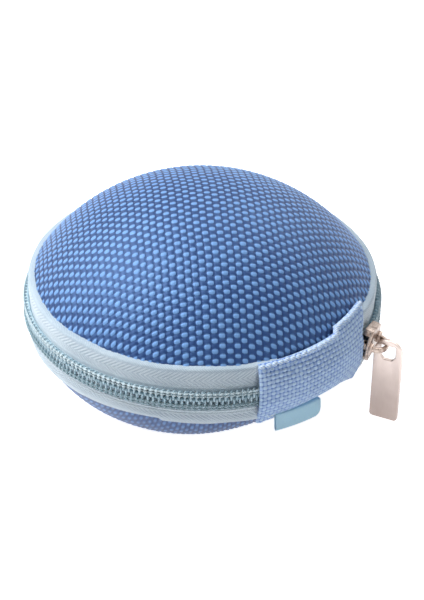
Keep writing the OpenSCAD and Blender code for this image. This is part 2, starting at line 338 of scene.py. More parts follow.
def woven_finish(name, deep, low, high, shine, glint, lower_share=0.25, streak=0.5):
    """Nylon woven from flat yarns, coloured with painted light: painted shade deep between them, low on their
    sides and a painted highlight high on the floats.

    The mesh marks how far up its yarn a point lies (crest_light) and where the raised set is on top (weft).
    The other set gets only lower_share of the painted highlight, so the raised set is painted lighter. streak
    is the contrast of the fibres along each yarn, and glint is the colour of what the fibres mirror.
    """
    cloth = Finish(name, roughness=0.5, specular=shine, sheen=0.04)
    cloth.shader.inputs["Specular Tint"].default_value = glint
    across, along = cloth.cloth_place()
    raised = cloth.mark("weft")
    crest_light = cloth.mark("crest_light")
    raised_fibres = cloth.noise(cloth.joined(across * 0.7, along * 11.0), detail=3)
    lower_fibres = cloth.noise(cloth.joined(across * 11.0, along * 0.7, 5.0), detail=3)
    fibres = raised * raised_fibres + (raised * -1 + 1) * lower_fibres
    yarn = cloth.noise(cloth.joined(across.floor() * 3.7, along.floor() * 5.3), scale=1.3)
    cloud = cloth.noise(cloth.object_place(), scale=0.09, detail=1)
    # Painted light: floats painted lighter towards their tops, the raised set more than the other, with
    # painted shade in the gaps
    lit = crest_light.between(0.4, 0.95) * (raised * (1 - lower_share) + lower_share)
    lit = lit + (fibres - 0.5) * streak + (yarn - 0.5) * 0.4 + (cloud - 0.5) * 0.25
    shaded = cloth.mix(crest_light.between(0.1, 0.6), deep, low)
    cloth.tone(lit.between(0.1, 1.0), shaded, high)
    cloth.roughness(fibres * 0.3 + 0.3)
    cloth.bump(fibres, 0.05)
    return cloth.material


def tape_finish(name, valley, ridge):
    """Zip tape: a fine twill, with the broader ridges of its herringbone in the mesh and painted light on
    them.
    """
    tape = Finish(name, roughness=0.62, specular=0.3, sheen=0.15)
    across, along = tape.cloth_place()
    crest_light = tape.mark("crest_light")
    twill = (across * 1.7 + along * 1.9).wave()
    threads = (along * 3.1).wave()
    yarns = tape.noise(tape.joined(across * 3.0, along * 3.0), detail=4)
    cloud = tape.noise(tape.object_place(), scale=0.15, detail=2)
    # Painted light: paler with crest_light on the relief's tops, and painted shade in its valleys
    lit = crest_light * 0.55 + twill * 0.24 + yarns * 0.5 + (cloud - 0.5) * 0.3
    tape.tone(lit.between(0.1, 0.95), valley, ridge)
    tape.bump(yarns * 0.4 + twill * 0.4 + threads * 0.2, 0.11)
    return tape.material


def coil_finish(name, dark, light):
    """Moulded nylon filament: satin, a little cloudy, with fine drawing lines."""
    coil = Finish(name, roughness=0.34, specular=0.5)
    place = coil.object_place()
    cloud = coil.noise(place, scale=0.8, detail=2)
    fine = coil.noise(place, scale=6.0, detail=3)
    coil.tone((cloud * 0.6 + fine * 0.4).between(0.3, 0.7), dark, light)
    coil.roughness(fine * 0.25 + 0.24)
    coil.bump(fine, 0.02)
    return coil.material


def thread_finish(name, dark, light):
    """Twisted polyester thread: the plies wind round it along its cloth map."""
    thread = Finish(name, roughness=0.6, specular=0.35, sheen=0.3)
    along, around = thread.cloth_place()
    ply = (along * 2.4 + around * 3.0).wave()
    fuzz = thread.noise(thread.object_place(), scale=9.0, detail=3)
    thread.tone((ply * 0.6 + fuzz * 0.5).between(0.2, 0.9), dark, light)
    thread.bump(ply * 0.7 + fuzz * 0.3, 0.06)
    return thread.material


def ribbon_finish(name, dark, light):
    """Smooth woven ribbon: fine ribs across it and an even satin face."""
    ribbon = Finish(name, roughness=0.5, specular=0.35, sheen=0.2)
    across, along = ribbon.cloth_place()
    ribs = (along * 3.2).wave()
    threads = (across * 4.5).wave()
    grain = ribbon.noise(ribbon.joined(across * 2.0, along * 5.0), detail=3)
    lit = ribs * 0.3 + threads * 0.2 + grain * 0.7
    ribbon.tone(lit.between(0.15, 0.95), dark, light)
    ribbon.bump(ribs * 0.6 + threads * 0.4, 0.03)
    return ribbon.material


def brushed_finish(name, dark, light):
    """Plated metal with fine brushing along its length, and painted shade that darkens it towards its lower
    end.
    """
    metal = Finish(name, roughness=0.3, metallic=1.0)
    across, along = metal.cloth_place()
    lines = metal.noise(metal.joined(across * 14.0, along * 0.35), detail=4, rough=0.6)
    cloud = metal.noise(metal.object_place(), scale=0.25, detail=2)
    # Painted shade: darker towards the lower end of the pull, lighter above
    painted_shade_by_height = metal.rise().between(PARTING - 17.0, PARTING + 3.0)
    metal.tone(lines * 0.3 + cloud * 0.3 + painted_shade_by_height * 0.6 - 0.1, dark, light)
    metal.roughness(lines * 0.22 + 0.24)
    metal.bump(lines, 0.012)
    return metal.material


def cast_finish(name, dark, light):
    """Plated zinc casting: smooth, with a faint ripple and small rubbed spots."""
    metal = Finish(name, roughness=0.26, metallic=1.0)
    place = metal.object_place()
    ripple = metal.noise(place, scale=0.9, detail=2)
    spots = metal.noise(place, scale=5.0, detail=3)
    metal.tone((ripple * 0.7 + spots * 0.3).between(0.3, 0.7), dark, light)
    metal.roughness(spots * 0.3 + 0.14)
    metal.bump(ripple * 0.7 + spots * 0.3, 0.03)
    return metal.material


def knit_finish(name, dark, light, courses, wales):
    """Knitted lining: small interlocking loops with a brushed nap."""
    knit = Finish(name, roughness=0.85, specular=0.2, sheen=0.5)
    across, along = knit.cloth_place()
    lean = (across * wales).wave()
    loops = (along * courses + lean * 0.5).wave()
    nap = knit.noise(knit.object_place(), scale=2.5, detail=4)
    lit = loops * 0.35 + lean * 0.25 + nap * 0.6
    knit.tone(lit.between(0.2, 0.95), dark, light)
    knit.bump(loops * 0.5 + lean * 0.3 + nap * 0.4, 0.12)
    return knit.material


def foam_finish(name, dark, light):
    """Moulded foam: closed cells that show as fine pits."""
    foam = Finish(name, roughness=0.8, specular=0.25)
    cells = foam.noise(foam.object_place(), scale=5.0, detail=3)
    foam.tone(cells.between(0.3, 0.7), dark, light)
    foam.bump(cells, 0.05)
    return foam.material


# ---- Meshes ----

# Steps of a full turn, and the angle from which an edge of a swept piece is sharp
TURNED_STEPS = 180
SWEPT_SHARP = 50


def mesh_piece(name, points, faces, material, cloth=None, marks=None, closed=False):
    """A smooth piece from points in millimetres. cloth maps each point to a place on the cloth."""
    mesh = bpy.data.meshes.new(name)
    mesh.from_pydata((np.asarray(points) * MM).tolist(), [], faces)
    if cloth is not None:
        corners = np.empty(len(mesh.loops), dtype=np.int32)
        mesh.loops.foreach_get("vertex_index", corners)
        layer = mesh.uv_layers.new(name="cloth")
        layer.data.foreach_set("uv", np.asarray(cloth, dtype=np.float32)[corners].ravel())
    for mark, values in (marks or {}).items():
        attribute = mesh.attributes.new(mark, "FLOAT", "POINT")
        attribute.data.foreach_set("value", np.asarray(values, dtype=np.float32))
    if closed:
        face_outwards(mesh)
    mesh.shade_smooth()
    mesh.materials.append(material)
    return placed(name, mesh)


def face_outwards(mesh, weld=0):
    """Turns every face of a closed mesh outwards. Points closer than weld millimetres are joined first."""
    shape = bmesh.new()
    shape.from_mesh(mesh)
    if weld:
        bmesh.ops.remove_doubles(shape, verts=shape.verts, dist=weld * MM)
    bmesh.ops.recalc_face_normals(shape, faces=shape.faces)
    shape.to_mesh(mesh)
    shape.free()


def grid_faces(rows, columns, wrap=False, flip=False):
    """Faces over rows of points. wrap joins the last column to the first."""
    a = np.arange(rows * columns).reshape(rows, columns)
    right = np.roll(a, -1, axis=1)
    if not wrap:
        a, right = a[:, :-1], right[:, :-1]
    quads = np.stack([a[:-1], right[:-1], right[1:], a[1:]], axis=-1).reshape(-1, 4)
    return (quads[:, ::-1] if flip else quads).tolist()


def around(az, r, z):
    """Points at angles round the case, radii and heights above the parting plane."""
    az = np.radians(az)
    return np.stack(np.broadcast_arrays(-np.sin(az) * r, np.cos(az) * r, z + PARTING), axis=-1)


def run_length(path):
    """Distance along a path to each of its points."""
    return np.concatenate([[0], np.cumsum(np.linalg.norm(np.diff(path, axis=0), axis=1))])


def case_cloth(az, r, z):
    """Cloth map of a section carried round the case: millimetres round it and along the section."""
    step = np.hypot(np.diff(r[0], prepend=r[0, :1]), np.diff(z[0], prepend=z[0, :1]))
    along = np.cumsum(step)[None, :] + 0 * az
    arc = np.radians(az) * r.max() + 0 * along
    return np.stack([arc, along], axis=-1).reshape(-1, 2)


def swept(name, az, r, z, material, marks=None):
    """A closed section swept round the case, with capped ends. r and z have a row for each angle."""
    az = np.asarray(az, dtype=float)[:, None]
    r, z = np.broadcast_arrays(r + 0 * az, z + 0 * az)
    rows, columns = r.shape
    points = around(az, r, z).reshape(-1, 3)
    faces = grid_faces(rows, columns, wrap=True)
    faces += [list(range(columns))[::-1], list(range((rows - 1) * columns, rows * columns))]
    piece = mesh_piece(name, points, faces, material, case_cloth(az, r, z), marks, closed=True)
    piece.data.set_sharp_from_angle(angle=math.radians(SWEPT_SHARP))
    return piece


def turned(name, section, material):
    """A closed section of (radius, height) points turned through a full circle."""
    r, z = np.asarray(section, dtype=float).T[:, None, :]
    az = np.linspace(0, 360, TURNED_STEPS + 1)[:, None]
    points = around(az, r, z).reshape(-1, 3)
    faces = grid_faces(TURNED_STEPS + 1, len(section), wrap=True)
    piece = mesh_piece(name, points, faces, material, case_cloth(az, r, z))
    face_outwards(piece.data, weld=0.0001)
    return piece


def tube_mesh(path, radius, sides):
    """Points, faces and cloth map of a round tube along a path."""
    count = len(path)
    ahead = np.gradient(path, axis=0)
    ahead /= np.linalg.norm(ahead, axis=1)[:, None]
    outwards = path * [1, 1, 0]
    outwards /= np.maximum(np.linalg.norm(outwards, axis=1), 1e-9)[:, None]
    side = np.cross(ahead, outwards)
    weak = np.linalg.norm(side, axis=1) < 0.2
    side[weak] = np.cross(ahead[weak], [0.0, 0.0, 1.0])
    side /= np.linalg.norm(side, axis=1)[:, None]
    up = np.cross(side, ahead)
    turn = np.arange(sides) * TURN / sides
    radius = np.broadcast_to(radius, count)[:, None, None]
    ring = side[:, None] * np.cos(turn)[:, None] + up[:, None] * np.sin(turn)[:, None]
    points = (path[:, None] + ring * radius).reshape(-1, 3)
    cloth = np.stack(np.broadcast_arrays(run_length(path)[:, None], turn / TURN), axis=-1).reshape(-1, 2)
    last = count * sides
    ends = [list(range(sides))[::-1], list(range(last - sides, last))]
    return points, grid_faces(count, sides, wrap=True) + ends, cloth


def joined_piece(name, parts, material):
    """One piece from several (points, faces, cloth map) parts."""
    points, faces, cloth, start = [], [], [], 0
    for part_points, part_faces, part_cloth in parts:
        points.append(part_points)
        cloth.append(part_cloth)
        faces += [[start + k for k in face] for face in part_faces]
        start += len(part_points)
    return mesh_piece(name, np.concatenate(points), faces, material, np.concatenate(cloth), closed=True)


def ripple(x, seed, period):
    """Smooth unevenness from -1 to 1 along x, the same each run."""
    rng = np.random.default_rng(seed)
    total = np.zeros_like(np.asarray(x, dtype=float))
    for octave in range(4):
        total += np.sin(x * TURN / period * (1 + 0.83 * octave) + rng.uniform(0, TURN)) / (1 + octave)
    return total / 2.1


def spaced(path, count):
    """That many points, spaced evenly along a path."""
    length = run_length(path)
    even = np.linspace(0, length[-1], count)
    return np.stack([np.interp(even, length, values) for values in path.T], axis=1)


def rounded_path(corners, count, soft=0.35):
    """Evenly spaced points along straight runs between corners, each softened over that many millimetres."""
    corners = np.asarray(corners, dtype=float)
    runs = [np.linspace(a, b, 60, endpoint=False) for a, b in zip(corners[:-1], corners[1:])]
    straight = np.concatenate(runs + [corners[-1:]])
    fine_count = 400
    width = max(1, int(soft / run_length(straight)[-1] * fine_count))
    window = np.hanning(2 * width + 3)[1:-1]
    window /= window.sum()
    fine = np.pad(spaced(straight, fine_count), ((width, width), (0, 0)), mode="reflect", reflect_type="odd")
    smooth = np.stack([np.convolve(values, window, mode="valid") for values in fine.T], axis=1)
    return spaced(smooth, count)


def ramp(x, start, width):
    """0 up to start, then a straight rise to 1 over that width."""
    return np.clip((x - start) / width, 0, 1)


def eased(share):
    """A share from 0 to 1 with a soft start and end."""
    return share ** 2 * (3 - 2 * share)


def bell(x, middle, width):
    """1 at the middle, fading out over about that width on both sides."""
    return np.exp(-((x - middle) / width) ** 2)


def carried(piece, node, body=None):
    """Hides the node that a piece replaces, and attaches the piece to a body if one is given."""
    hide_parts(node)
    if body:
        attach(piece, body)
    return piece


def left_normals(path):
    """Unit normals on the left of a path in (radius, height)."""
    ahead = np.gradient(path, axis=0)
    normal = np.stack([-ahead[:, 1], ahead[:, 0]], axis=1)
    return normal / np.linalg.norm(normal, axis=1)[:, None]


# ---- Weave ----

# How blunt a yarn's crown is along it, and the shape of its section: how far it drops, and how square it is
CROWN_POWER = 0.65
YARN_DROP = 0.94
YARN_SQUARE = 2.8


def plain_weave(u, v, crimp, bulge, set_back, cover=1.0):
    """Plain weave at a point counted in yarns. The raised set runs along u, a yarn for each unit of v, and
    covers that share of its pitch. Returns the height, how far up the point lies from 0 to 1, which the
    finishes paint as light and shade, and 1 where the raised set is on top."""
    column, row = np.floor(u), np.floor(v)
    across_weft = 2 * (v - row) - 1
    across_warp = 2 * (u - column) - 1
    over = np.where((column + row) % 2 == 0, 1.0, -1.0)
    along_weft = np.cos(math.pi * (u - column - 0.5)) ** CROWN_POWER
    along_warp = np.cos(math.pi * (v - row - 0.5)) ** CROWN_POWER
    weft_round = np.sqrt(np.clip(1 - YARN_DROP * np.abs(across_weft / cover) ** YARN_SQUARE, 0, 1))
    warp_round = np.sqrt(1 - YARN_DROP * np.abs(across_warp) ** YARN_SQUARE)
    weft = crimp * over * along_weft + bulge * (weft_round - 1)
    warp = -crimp * over * along_warp + bulge * (warp_round - 1) - set_back
    top = weft > warp
    height = np.where(top, weft, warp)
    lowest = -bulge - set_back
    crest_light = np.clip((height - lowest) / (crimp - lowest), 0, 1)
    return height, crest_light, top.astype(float)


def finish_cover(piece, rim_r, skirt_z):
    """Sinks the cloth's cut edge behind the tape and carries it down to the shell's rim."""
    shape = bmesh.new()
    shape.from_mesh(piece.data)
    rim = [edge for edge in shape.edges if edge.is_boundary]
    made = bmesh.ops.extrude_edge_only(shape, edges=rim)
    for vert in (item for item in made["geom"] if isinstance(item, bmesh.types.BMVert)):
        scale = rim_r * MM / math.hypot(vert.co.x, vert.co.y)
        vert.co = (vert.co.x * scale, vert.co.y * scale, (skirt_z + PARTING) * MM)
    shape.to_mesh(piece.data)
    shape.free()
    piece.data.shade_smooth()


# Yarns of the covers: left to right in the photograph, and front to back
YARN_ACROSS = 1.55
YARN_DEEP = 1.05
BASE_YARN = YARN_DEEP * 1.06
CLOTH_TURN = 6

# Points of the mesh to a yarn, and the cloth laid out beyond its edge before it is cut
CELL_ACROSS = 6
CELL_DEEP = 4
GRID_SPARE = 2

# How far the covers reach under the tapes, and how far the lid's weave stands off the dome
COVER_LAP = 0.25
BASE_LAP = 1.4
LID_LIFT = 0.05

# Share of the painted light on the lid's yarns that those of the base get: the base is painted darker, as
# painted shade
BASE_PAINTED_LIGHT = 0.72


def cover_grid(reach, pitch_u, pitch_v, seed):
    """Points over a square of cloth, as millimetres from its middle and as counts of yarns."""
    yarns_u, yarns_v = math.ceil(reach / pitch_u), math.ceil(reach / pitch_v)
    u = np.arange(-yarns_u * CELL_ACROSS, yarns_u * CELL_ACROSS + 1) / CELL_ACROSS
    v = np.arange(-yarns_v * CELL_DEEP, yarns_v * CELL_DEEP + 1) / CELL_DEEP
    u, v = np.meshgrid(u, v)
    drift_u = 0.16 * ripple(v * pitch_v, seed, 31) + 0.10 * ripple(u * pitch_u, seed + 1, 9)
    drift_v = 0.16 * ripple(u * pitch_u, seed + 2, 27) + 0.10 * ripple(v * pitch_v, seed + 3, 7)
    return u * pitch_u + drift_u, v * pitch_v + drift_v, u, v


def cut_cloth(name, points, inside, place, crest_light, weft, material, flip=False):
    """A piece from the faces of a grid of cloth that have a corner inside. place counts the yarns."""
    quads = np.array(grid_faces(*inside.shape, flip=flip))
    quads = quads[inside.ravel()[quads].any(axis=1)]
    used, faces = np.unique(quads, return_inverse=True)
    marks = {"crest_light": crest_light.ravel()[used], "weft": weft.ravel()[used]}
    cloth = np.stack(place, axis=-1).reshape(-1, 2)[used]
    faces = faces.reshape(-1, 4).tolist()
    return mesh_piece(name, points.reshape(-1, 3)[used], faces, material, cloth, marks)


def cloth_axes():
    """Directions across and along the covers' yarns, a little askew to the photograph's view."""
    away = Quaternion((0, 0, 1), math.radians(CLOTH_TURN)) @ -level(CAMERA_AZ)
    return away.cross(Vector((0, 0, 1))), away


def lid_cloth(material):
    """Cover of the lid: nylon moulded over the dome, its raised yarns running from front to back."""
    edge_r = LID_R + COVER_LAP
    reach = DOME_R * math.asin(edge_r / DOME_R)
    s, t, u, v = cover_grid(reach + GRID_SPARE, YARN_ACROSS, YARN_DEEP, seed=3)
    height, crest_light, weft = plain_weave(v, u, crimp=0.15, bulge=0.18, set_back=0.08, cover=0.92)
    x = DOME_R * np.sin(np.clip(s / DOME_R, -1.5, 1.5))
    y = DOME_R * np.sin(np.clip(t / DOME_R, -1.5, 1.5))
    r = np.hypot(x, y)
    pull_in = np.minimum(1, edge_r / np.maximum(r, 1e-6))
    x, y = x * pull_in, y * pull_in
    up = np.sqrt(DOME_R ** 2 - x ** 2 - y ** 2)
    lift = 1 + (height + LID_LIFT) / DOME_R
    right, away = cloth_axes()
    flat = x[..., None] * np.array(right) + y[..., None] * np.array(away)
    points = (flat + up[..., None] * np.array([0, 0, 1])) * lift[..., None] + [0, 0, DOME_MID + PARTING]
    piece = cut_cloth("lid_cloth", points, r < edge_r, (v, u), crest_light, weft, material)
    finish_cover(piece, LID_R, RIM_GAP)
    carried(piece, "lid_cover", "lid")


# The base is squashed at the hinge: how deep, where, and over which angles to the left and right of there
PRESS_DEPTH = 2.4
PRESS_AZ = 2
PRESS_LEFT = 34
PRESS_RIGHT = 22

# Angles up the base's round edge, from the floor: where the squash is full, and where it fades out and ends
PRESS_RISE = 32
PRESS_FADE = 12
PRESS_TOP = 76


def press_base(piece):
    """Presses the round edge of the base in, most at one place and fading out round it, up it and down it."""
    mesh = piece.data
    points = np.empty(len(mesh.vertices) * 3)
    mesh.vertices.foreach_get("co", points)
    points = points.reshape(-1, 3) / MM
    r = np.hypot(points[:, 0], points[:, 1])
    z = points[:, 2] - PARTING
    az = np.degrees(np.arctan2(-points[:, 0], points[:, 1]))
    round_case = bell(az, PRESS_AZ, np.where(az < PRESS_AZ, PRESS_LEFT, PRESS_RIGHT))
    angle = np.arctan2(np.maximum(r - CORNER_MID_R, 0), np.maximum(CORNER_MID_Z - z, 1e-3))
    below_seam = 1 - ramp(np.degrees(angle), PRESS_TOP - PRESS_FADE, PRESS_FADE)
    off_floor = ramp(np.degrees(angle), 0, PRESS_RISE)
    depth = PRESS_DEPTH * round_case * eased(below_seam) * eased(off_floor)
    points[:, 0] *= 1 - depth * np.sin(angle) / np.maximum(r, 1)
    points[:, 1] *= 1 - depth * np.sin(angle) / np.maximum(r, 1)
    points[:, 2] += depth * np.cos(angle)
    mesh.vertices.foreach_set("co", (points * MM).ravel())
    mesh.update()


def base_cloth(material):
    """Cover of the base: the same nylon, moulded over the floor and its round edge."""
    edge_angle = math.acos((BASE_SEAM + CORNER_MID_Z - BASE_LAP) / CORNER_R)
    edge = CORNER_MID_R + CORNER_R * edge_angle
    s, t, u, v = cover_grid(edge + GRID_SPARE, BASE_YARN, YARN_ACROSS, seed=11)
    height, crest_light, weft = plain_weave(v, u, crimp=0.04, bulge=0.22, set_back=0.14)
    length = np.hypot(s, t)
    angle = np.clip((np.minimum(length, edge) - CORNER_MID_R) / CORNER_R, 0, None)
    on_floor = np.minimum(length, CORNER_MID_R)
    lift = (height - 0.05) * np.clip(angle / 0.3, 0.25, 1)
    r = on_floor + (CORNER_R + lift) * np.sin(angle)
    z = CORNER_MID_Z - (CORNER_R + lift) * np.cos(angle)
    right, away = cloth_axes()
    outwards = s[..., None] * np.array(right) + t[..., None] * np.array(away)
    outwards /= np.maximum(length, 1e-6)[..., None]
    points = outwards * r[..., None] + (z + PARTING)[..., None] * np.array([0, 0, 1])
    # Painted shade: the base's yarns get less of the painted light
    crest_light = BASE_PAINTED_LIGHT * crest_light
    piece = cut_cloth("base_cloth", points, length < edge, (v, u), crest_light, weft, material, flip=True)
    finish_cover(piece, BASE_R, -RIM_GAP)
    press_base(piece)
    carried(piece, "base_cover", "base")


# ---- Zip tapes ----

RIB_PITCH = 1.1
RIB_LEAN = 0.8
RIB_HEIGHT = 0.08
RIB_POINTS = 5
OUTER_POINTS = 26
INNER_POINTS = 7

# Distance along the tape from the teeth to its bend, and the height above which its sewn edge wanders
BEND_AT = 1.2
SLIDE_FROM = 3.5

# Relief: pitch of the stitches, height of the stitched edge, how much it thins, crown and swell of the tape
STITCH_PITCH = 0.9
STITCH_HEIGHT = 0.05
EDGE_THINS = 0.35
CROWN_HEIGHT = 0.1
SWELL_HEIGHT = 0.05


def tape_relief(upper, arc, from_bend):
    """Relief of the tape over its face, and its painted light, at places round the case and from its bend.

    The herringbone is pointed above the teeth and slants one way below. Ridges lie where the tape is
    stitched to its coil, and a plain hem where it is sewn to the case.
    """
    span = from_bend[-1]
    share = np.clip(from_bend / span, 0, 1)
    if upper:
        lean = np.abs(from_bend - 0.45 * span)
        hem_from, hem_pale, ribs_from = 0.78, -0.4, 0.4
        ridge = 0.12 * bell(from_bend, 0.1, 0.2)
    else:
        lean = from_bend
        hem_from, hem_pale, ribs_from = 0.62, 0.2, 1.7
        ridge = 0.3 * bell(from_bend, 0.85, 0.24) + 0.16 * bell(from_bend, 1.65, 0.2)
    hem = ramp(share, hem_from, 0.12)
    ribs = np.cos(TURN * (arc / RIB_PITCH - lean / RIB_LEAN)) * (1 - hem) * ramp(from_bend, ribs_from, 0.4)
    crown = CROWN_HEIGHT * np.sin(share * math.pi)
    swell = SWELL_HEIGHT * ripple(arc, 21, 17) * share
    thin_edge = EDGE_THINS * ramp(share, 0.88, 0.12) ** 2
    stitches = STITCH_HEIGHT * bell(share, 0.93, 0.05) * (0.8 + 0.2 * np.cos(TURN * arc / STITCH_PITCH))
    # Painted light: paler on the rib tops and the ridges, painted shade in the rib valleys; the hem is
    # painted darker above the teeth and paler below
    height = RIB_HEIGHT * ribs + ridge + crown + swell - thin_edge + stitches
    return height, 0.5 + 0.5 * ribs + hem_pale * hem + 1.5 * ridge


def tape_piece(name, side, rim_r, seam, from_az, to_az, material, edge_shift):
    """Zip tape with a herringbone in relief, which lies flat beside the hinge patch.

    side is 1 above the teeth and -1 below. edge_shift gives how far the sewn edge wanders at each angle.
    """
    count = int(math.radians(to_az - from_az) * COIL_IN_R / RIB_PITCH * RIB_POINTS)
    az = np.linspace(from_az, to_az, count)[:, None]
    face_r = rim_r + TAPE_T
    outer = [(COIL_IN_R, TAPE_EDGE), (COIL_IN_R - 0.1, TAPE_BEND), (face_r, RIM_GAP), (face_r, seam)]
    outer = rounded_path(outer, OUTER_POINTS)
    inner = [(rim_r, seam), (rim_r, RIM_GAP), (TAPE_IN_R, TAPE_BEND), (TAPE_IN_R, TAPE_EDGE)]
    inner = rounded_path(inner, INNER_POINTS)
    height, relief_light = tape_relief(side > 0, np.radians(az) * COIL_IN_R, run_length(outer) - BEND_AT)
    from_patch = np.where(az < 180, az - PATCH_FLARE, 360 - az) - PATCH_HALF
    height *= ramp(from_patch, -0.6, 1.2)
    normal = -left_normals(outer)
    r = outer[:, 0] + normal[:, 0] * height
    z = outer[:, 1] + normal[:, 1] * height
    if side < 0:
        r = r - drawn_in(az, PATCH_LOW - outer[:, 1])
    r = np.concatenate([r, inner[:, 0] + 0 * az], axis=1)
    z = np.concatenate([z, inner[:, 1] + 0 * az], axis=1)
    rest_z = np.concatenate([outer[:, 1], inner[:, 1]])
    z = z + edge_shift(az) * ramp(rest_z, SLIDE_FROM, seam - SLIDE_FROM) ** 2
    # The inner face gets none of the painted light
    crest_light = np.concatenate([relief_light, np.zeros((count, INNER_POINTS))], axis=1)
    piece = swept(name, az[:, 0], r, side * z, material, {"crest_light": np.clip(crest_light, 0, 1).ravel()})
    return carried(piece, name.replace("_cloth", ""))


def lid_edge(az):
    return 0.14 * ripple(az, 5, 38) + 0.05 * ripple(az, 6, 9)


def base_edge(az):
    """The sewn edge steps down where the tape's lap begins, left of the middle of the photograph."""
    from_view = az - 360 - CAMERA_AZ
    step = np.clip((from_view + 12) / 1.2, -1, 0)
    return 0.12 * ripple(az, 8, 41) - 0.95 + 0.6 * step * ramp(from_view, -42, 30)


def lower_tape(material):
    ends = (TAPE_END, 360 - TAPE_END)
    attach(tape_piece("lower_tape_cloth", -1, BASE_R, BASE_SEAM, *ends, material, base_edge), "base")


def upper_tape(name, from_az, to_az, material):
    return tape_piece(name, 1, LID_R, LID_SEAM, from_az, to_az, material, lid_edge)


def upper_tapes(material):
    """The long upper tape, which rides the lid, and its two short ends beside the hinge, which stay fixed."""
    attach(upper_tape("upper_tape_cloth", FLEX_END, 360 - FLEX_END, material), "lid")
    left = upper_tape("upper_tape_end_left_cloth", TAPE_END, FLEX_END, material)
    right = upper_tape("upper_tape_end_right_cloth", 360 - FLEX_END, 360 - TAPE_END, material)
    for end in (left, right):
        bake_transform(end)


# ---- Coil rows ----

# Filament: how far past the parting plane its heads reach, how much they swell, how square its loops are
WIRE_R = 0.24
HEAD_REACH = 0.33
HEAD_SWELL = 0.35
LOOP_POINTS = 20
LOOP_POWER = 0.62

# Filler cord: radius of a ply, its distance from the cord's middle, and the length of a twist
PLY_R = 0.13
PLY_OFF = 0.1
PLY_LAY = 1.6
CORD_STEP = 0.3

# Heights of the two lines of stitches
STITCH_LINES = (1.24, 1.84)


def coil_path(side, shift):
    """Filament of one row: straight across on the outside, slanting to the next loop on the inside."""
    turn = np.arange(LOOPS * LOOP_POINTS) / LOOP_POINTS
    loop, phase = np.floor(turn), turn % 1
    around_loop = phase * TURN
    half_height = (COIL_HALF + HEAD_REACH) / 2 - WIRE_R
    half_depth = COIL_T / 2 - WIRE_R
    c, s = np.cos(around_loop), np.sin(around_loop)
    z = (COIL_HALF - HEAD_REACH) / 2 - half_height * np.sign(c) * np.abs(c) ** LOOP_POWER
    r = COIL_MID_R + half_depth * np.sign(s) * np.abs(s) ** LOOP_POWER
    az = ROW_FROM + (loop + shift + eased(ramp(phase, 0.45, 0.5))) * LOOP_STEP
    head = bell(z, z.min(), 0.35)
    return around(az, r, side * z), WIRE_R * (1 + HEAD_SWELL * head)


def coil_row(name, side, shift, body, material):
    path, radius = coil_path(side, shift)
    piece = joined_piece(name + "_filament", [tube_mesh(path, radius, 8)], material)
    carried(piece, name, body)


def cord_piece(name, side, body, material):
    """Filler cord inside the loops of one row: two plies twisted together."""
    arc = np.arange(0, math.radians(ROW_TO - ROW_FROM) * COIL_MID_R, CORD_STEP)
    az = ROW_FROM + np.degrees(arc / COIL_MID_R)
    mid_r = CORD_OUT_R - 0.24
    mid_z = side * (COIL_HALF - 0.6)
    parts = []
    for ply in (0, math.pi):
        twist = arc / PLY_LAY * TURN + ply
        path = around(az, mid_r + PLY_OFF * np.cos(twist), mid_z + PLY_OFF * np.sin(twist))
        parts.append(tube_mesh(path, PLY_R, 6))
    carried(joined_piece(name + "_plies", parts, material), name, body)


def coil_stitches(name, side, shift, body, material):
    """Two stitched lines that hold a row to its tape: fat over each loop and thin in between."""
    turn = np.arange(0, LOOPS - 1, 1 / 10)
    az = ROW_FROM + (turn + shift + 0.23) * LOOP_STEP
    over = 0.5 + 0.5 * np.cos(turn * TURN)
    parts = []
    for height in STITCH_LINES:
        path = around(az, COIL_R + 0.02 + 0.08 * over, side * (height + 0.08 * np.sin(turn * TURN)))
        parts.append(tube_mesh(path, 0.1 + 0.14 * over, 6))
    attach(joined_piece(name, parts, material), body)


# ---- Hinge patch ----

PATCH_YARN = 0.95
PATCH_CELL = 7
PATCH_SIDE_Z = 5
PATCH_OFF_LID = 1.3
PATCH_OFF_DOME = 1.1
PATCH_BACK = 0.55

# Width that the hems are measured over, and the height over which the lower edge is drawn in
PATCH_WIDE = 29
TUCK_HEIGHT = 4.2


def patch_path():
    """Outer face of the patch in (radius, height) from its lower edge up, its normals and its length."""
    above = PATCH_TOP + 2.5
    path = rounded_path([
        (PATCH_LOW_R, -PATCH_LOW), (PATCH_SIDE_R, -PATCH_SIDE_Z), (PATCH_R, -TAPE_BEND),
        (PATCH_R, TAPE_BEND), (PATCH_SIDE_R, PATCH_SIDE_Z),
        (LID_R + PATCH_OFF_LID, PATCH_TOP), (dome_radius(above) + PATCH_OFF_DOME, above),
    ], 700, soft=1.2)
    return path, -left_normals(path), run_length(path)


def dome_radius(z):
    return math.sqrt(DOME_R ** 2 - (z - DOME_MID) ** 2)


def patch_top(az):
    """Height of the patch's upper edge, which steps up towards the slider."""
    return PATCH_TOP + np.interp(az, (-PATCH_HALF, 8.2, 9.6, 27), (-0.5, 0.2, 1.1, 1.4))


def patch_reach(z):
    """How far round the patch goes on the slider's side: straight, then flared at the top."""
    return PATCH_HALF + PATCH_FLARE * ramp(z, FLARE_FROM, PATCH_TOP - FLARE_FROM)


def patch_tuck(az):
    """How far the patch's lower edge is drawn in under the case."""
    return np.interp(az, (-20, -10, 0, 7, 14, 20), (0, 1.1, 2.9, 2.5, 1.6, 0))


def drawn_in(az, height):
    """How far cloth is drawn in at a height above the patch's lower edge."""
    return patch_tuck(az) * np.clip(1 - height / TUCK_HEIGHT, 0, 1) ** 1.6


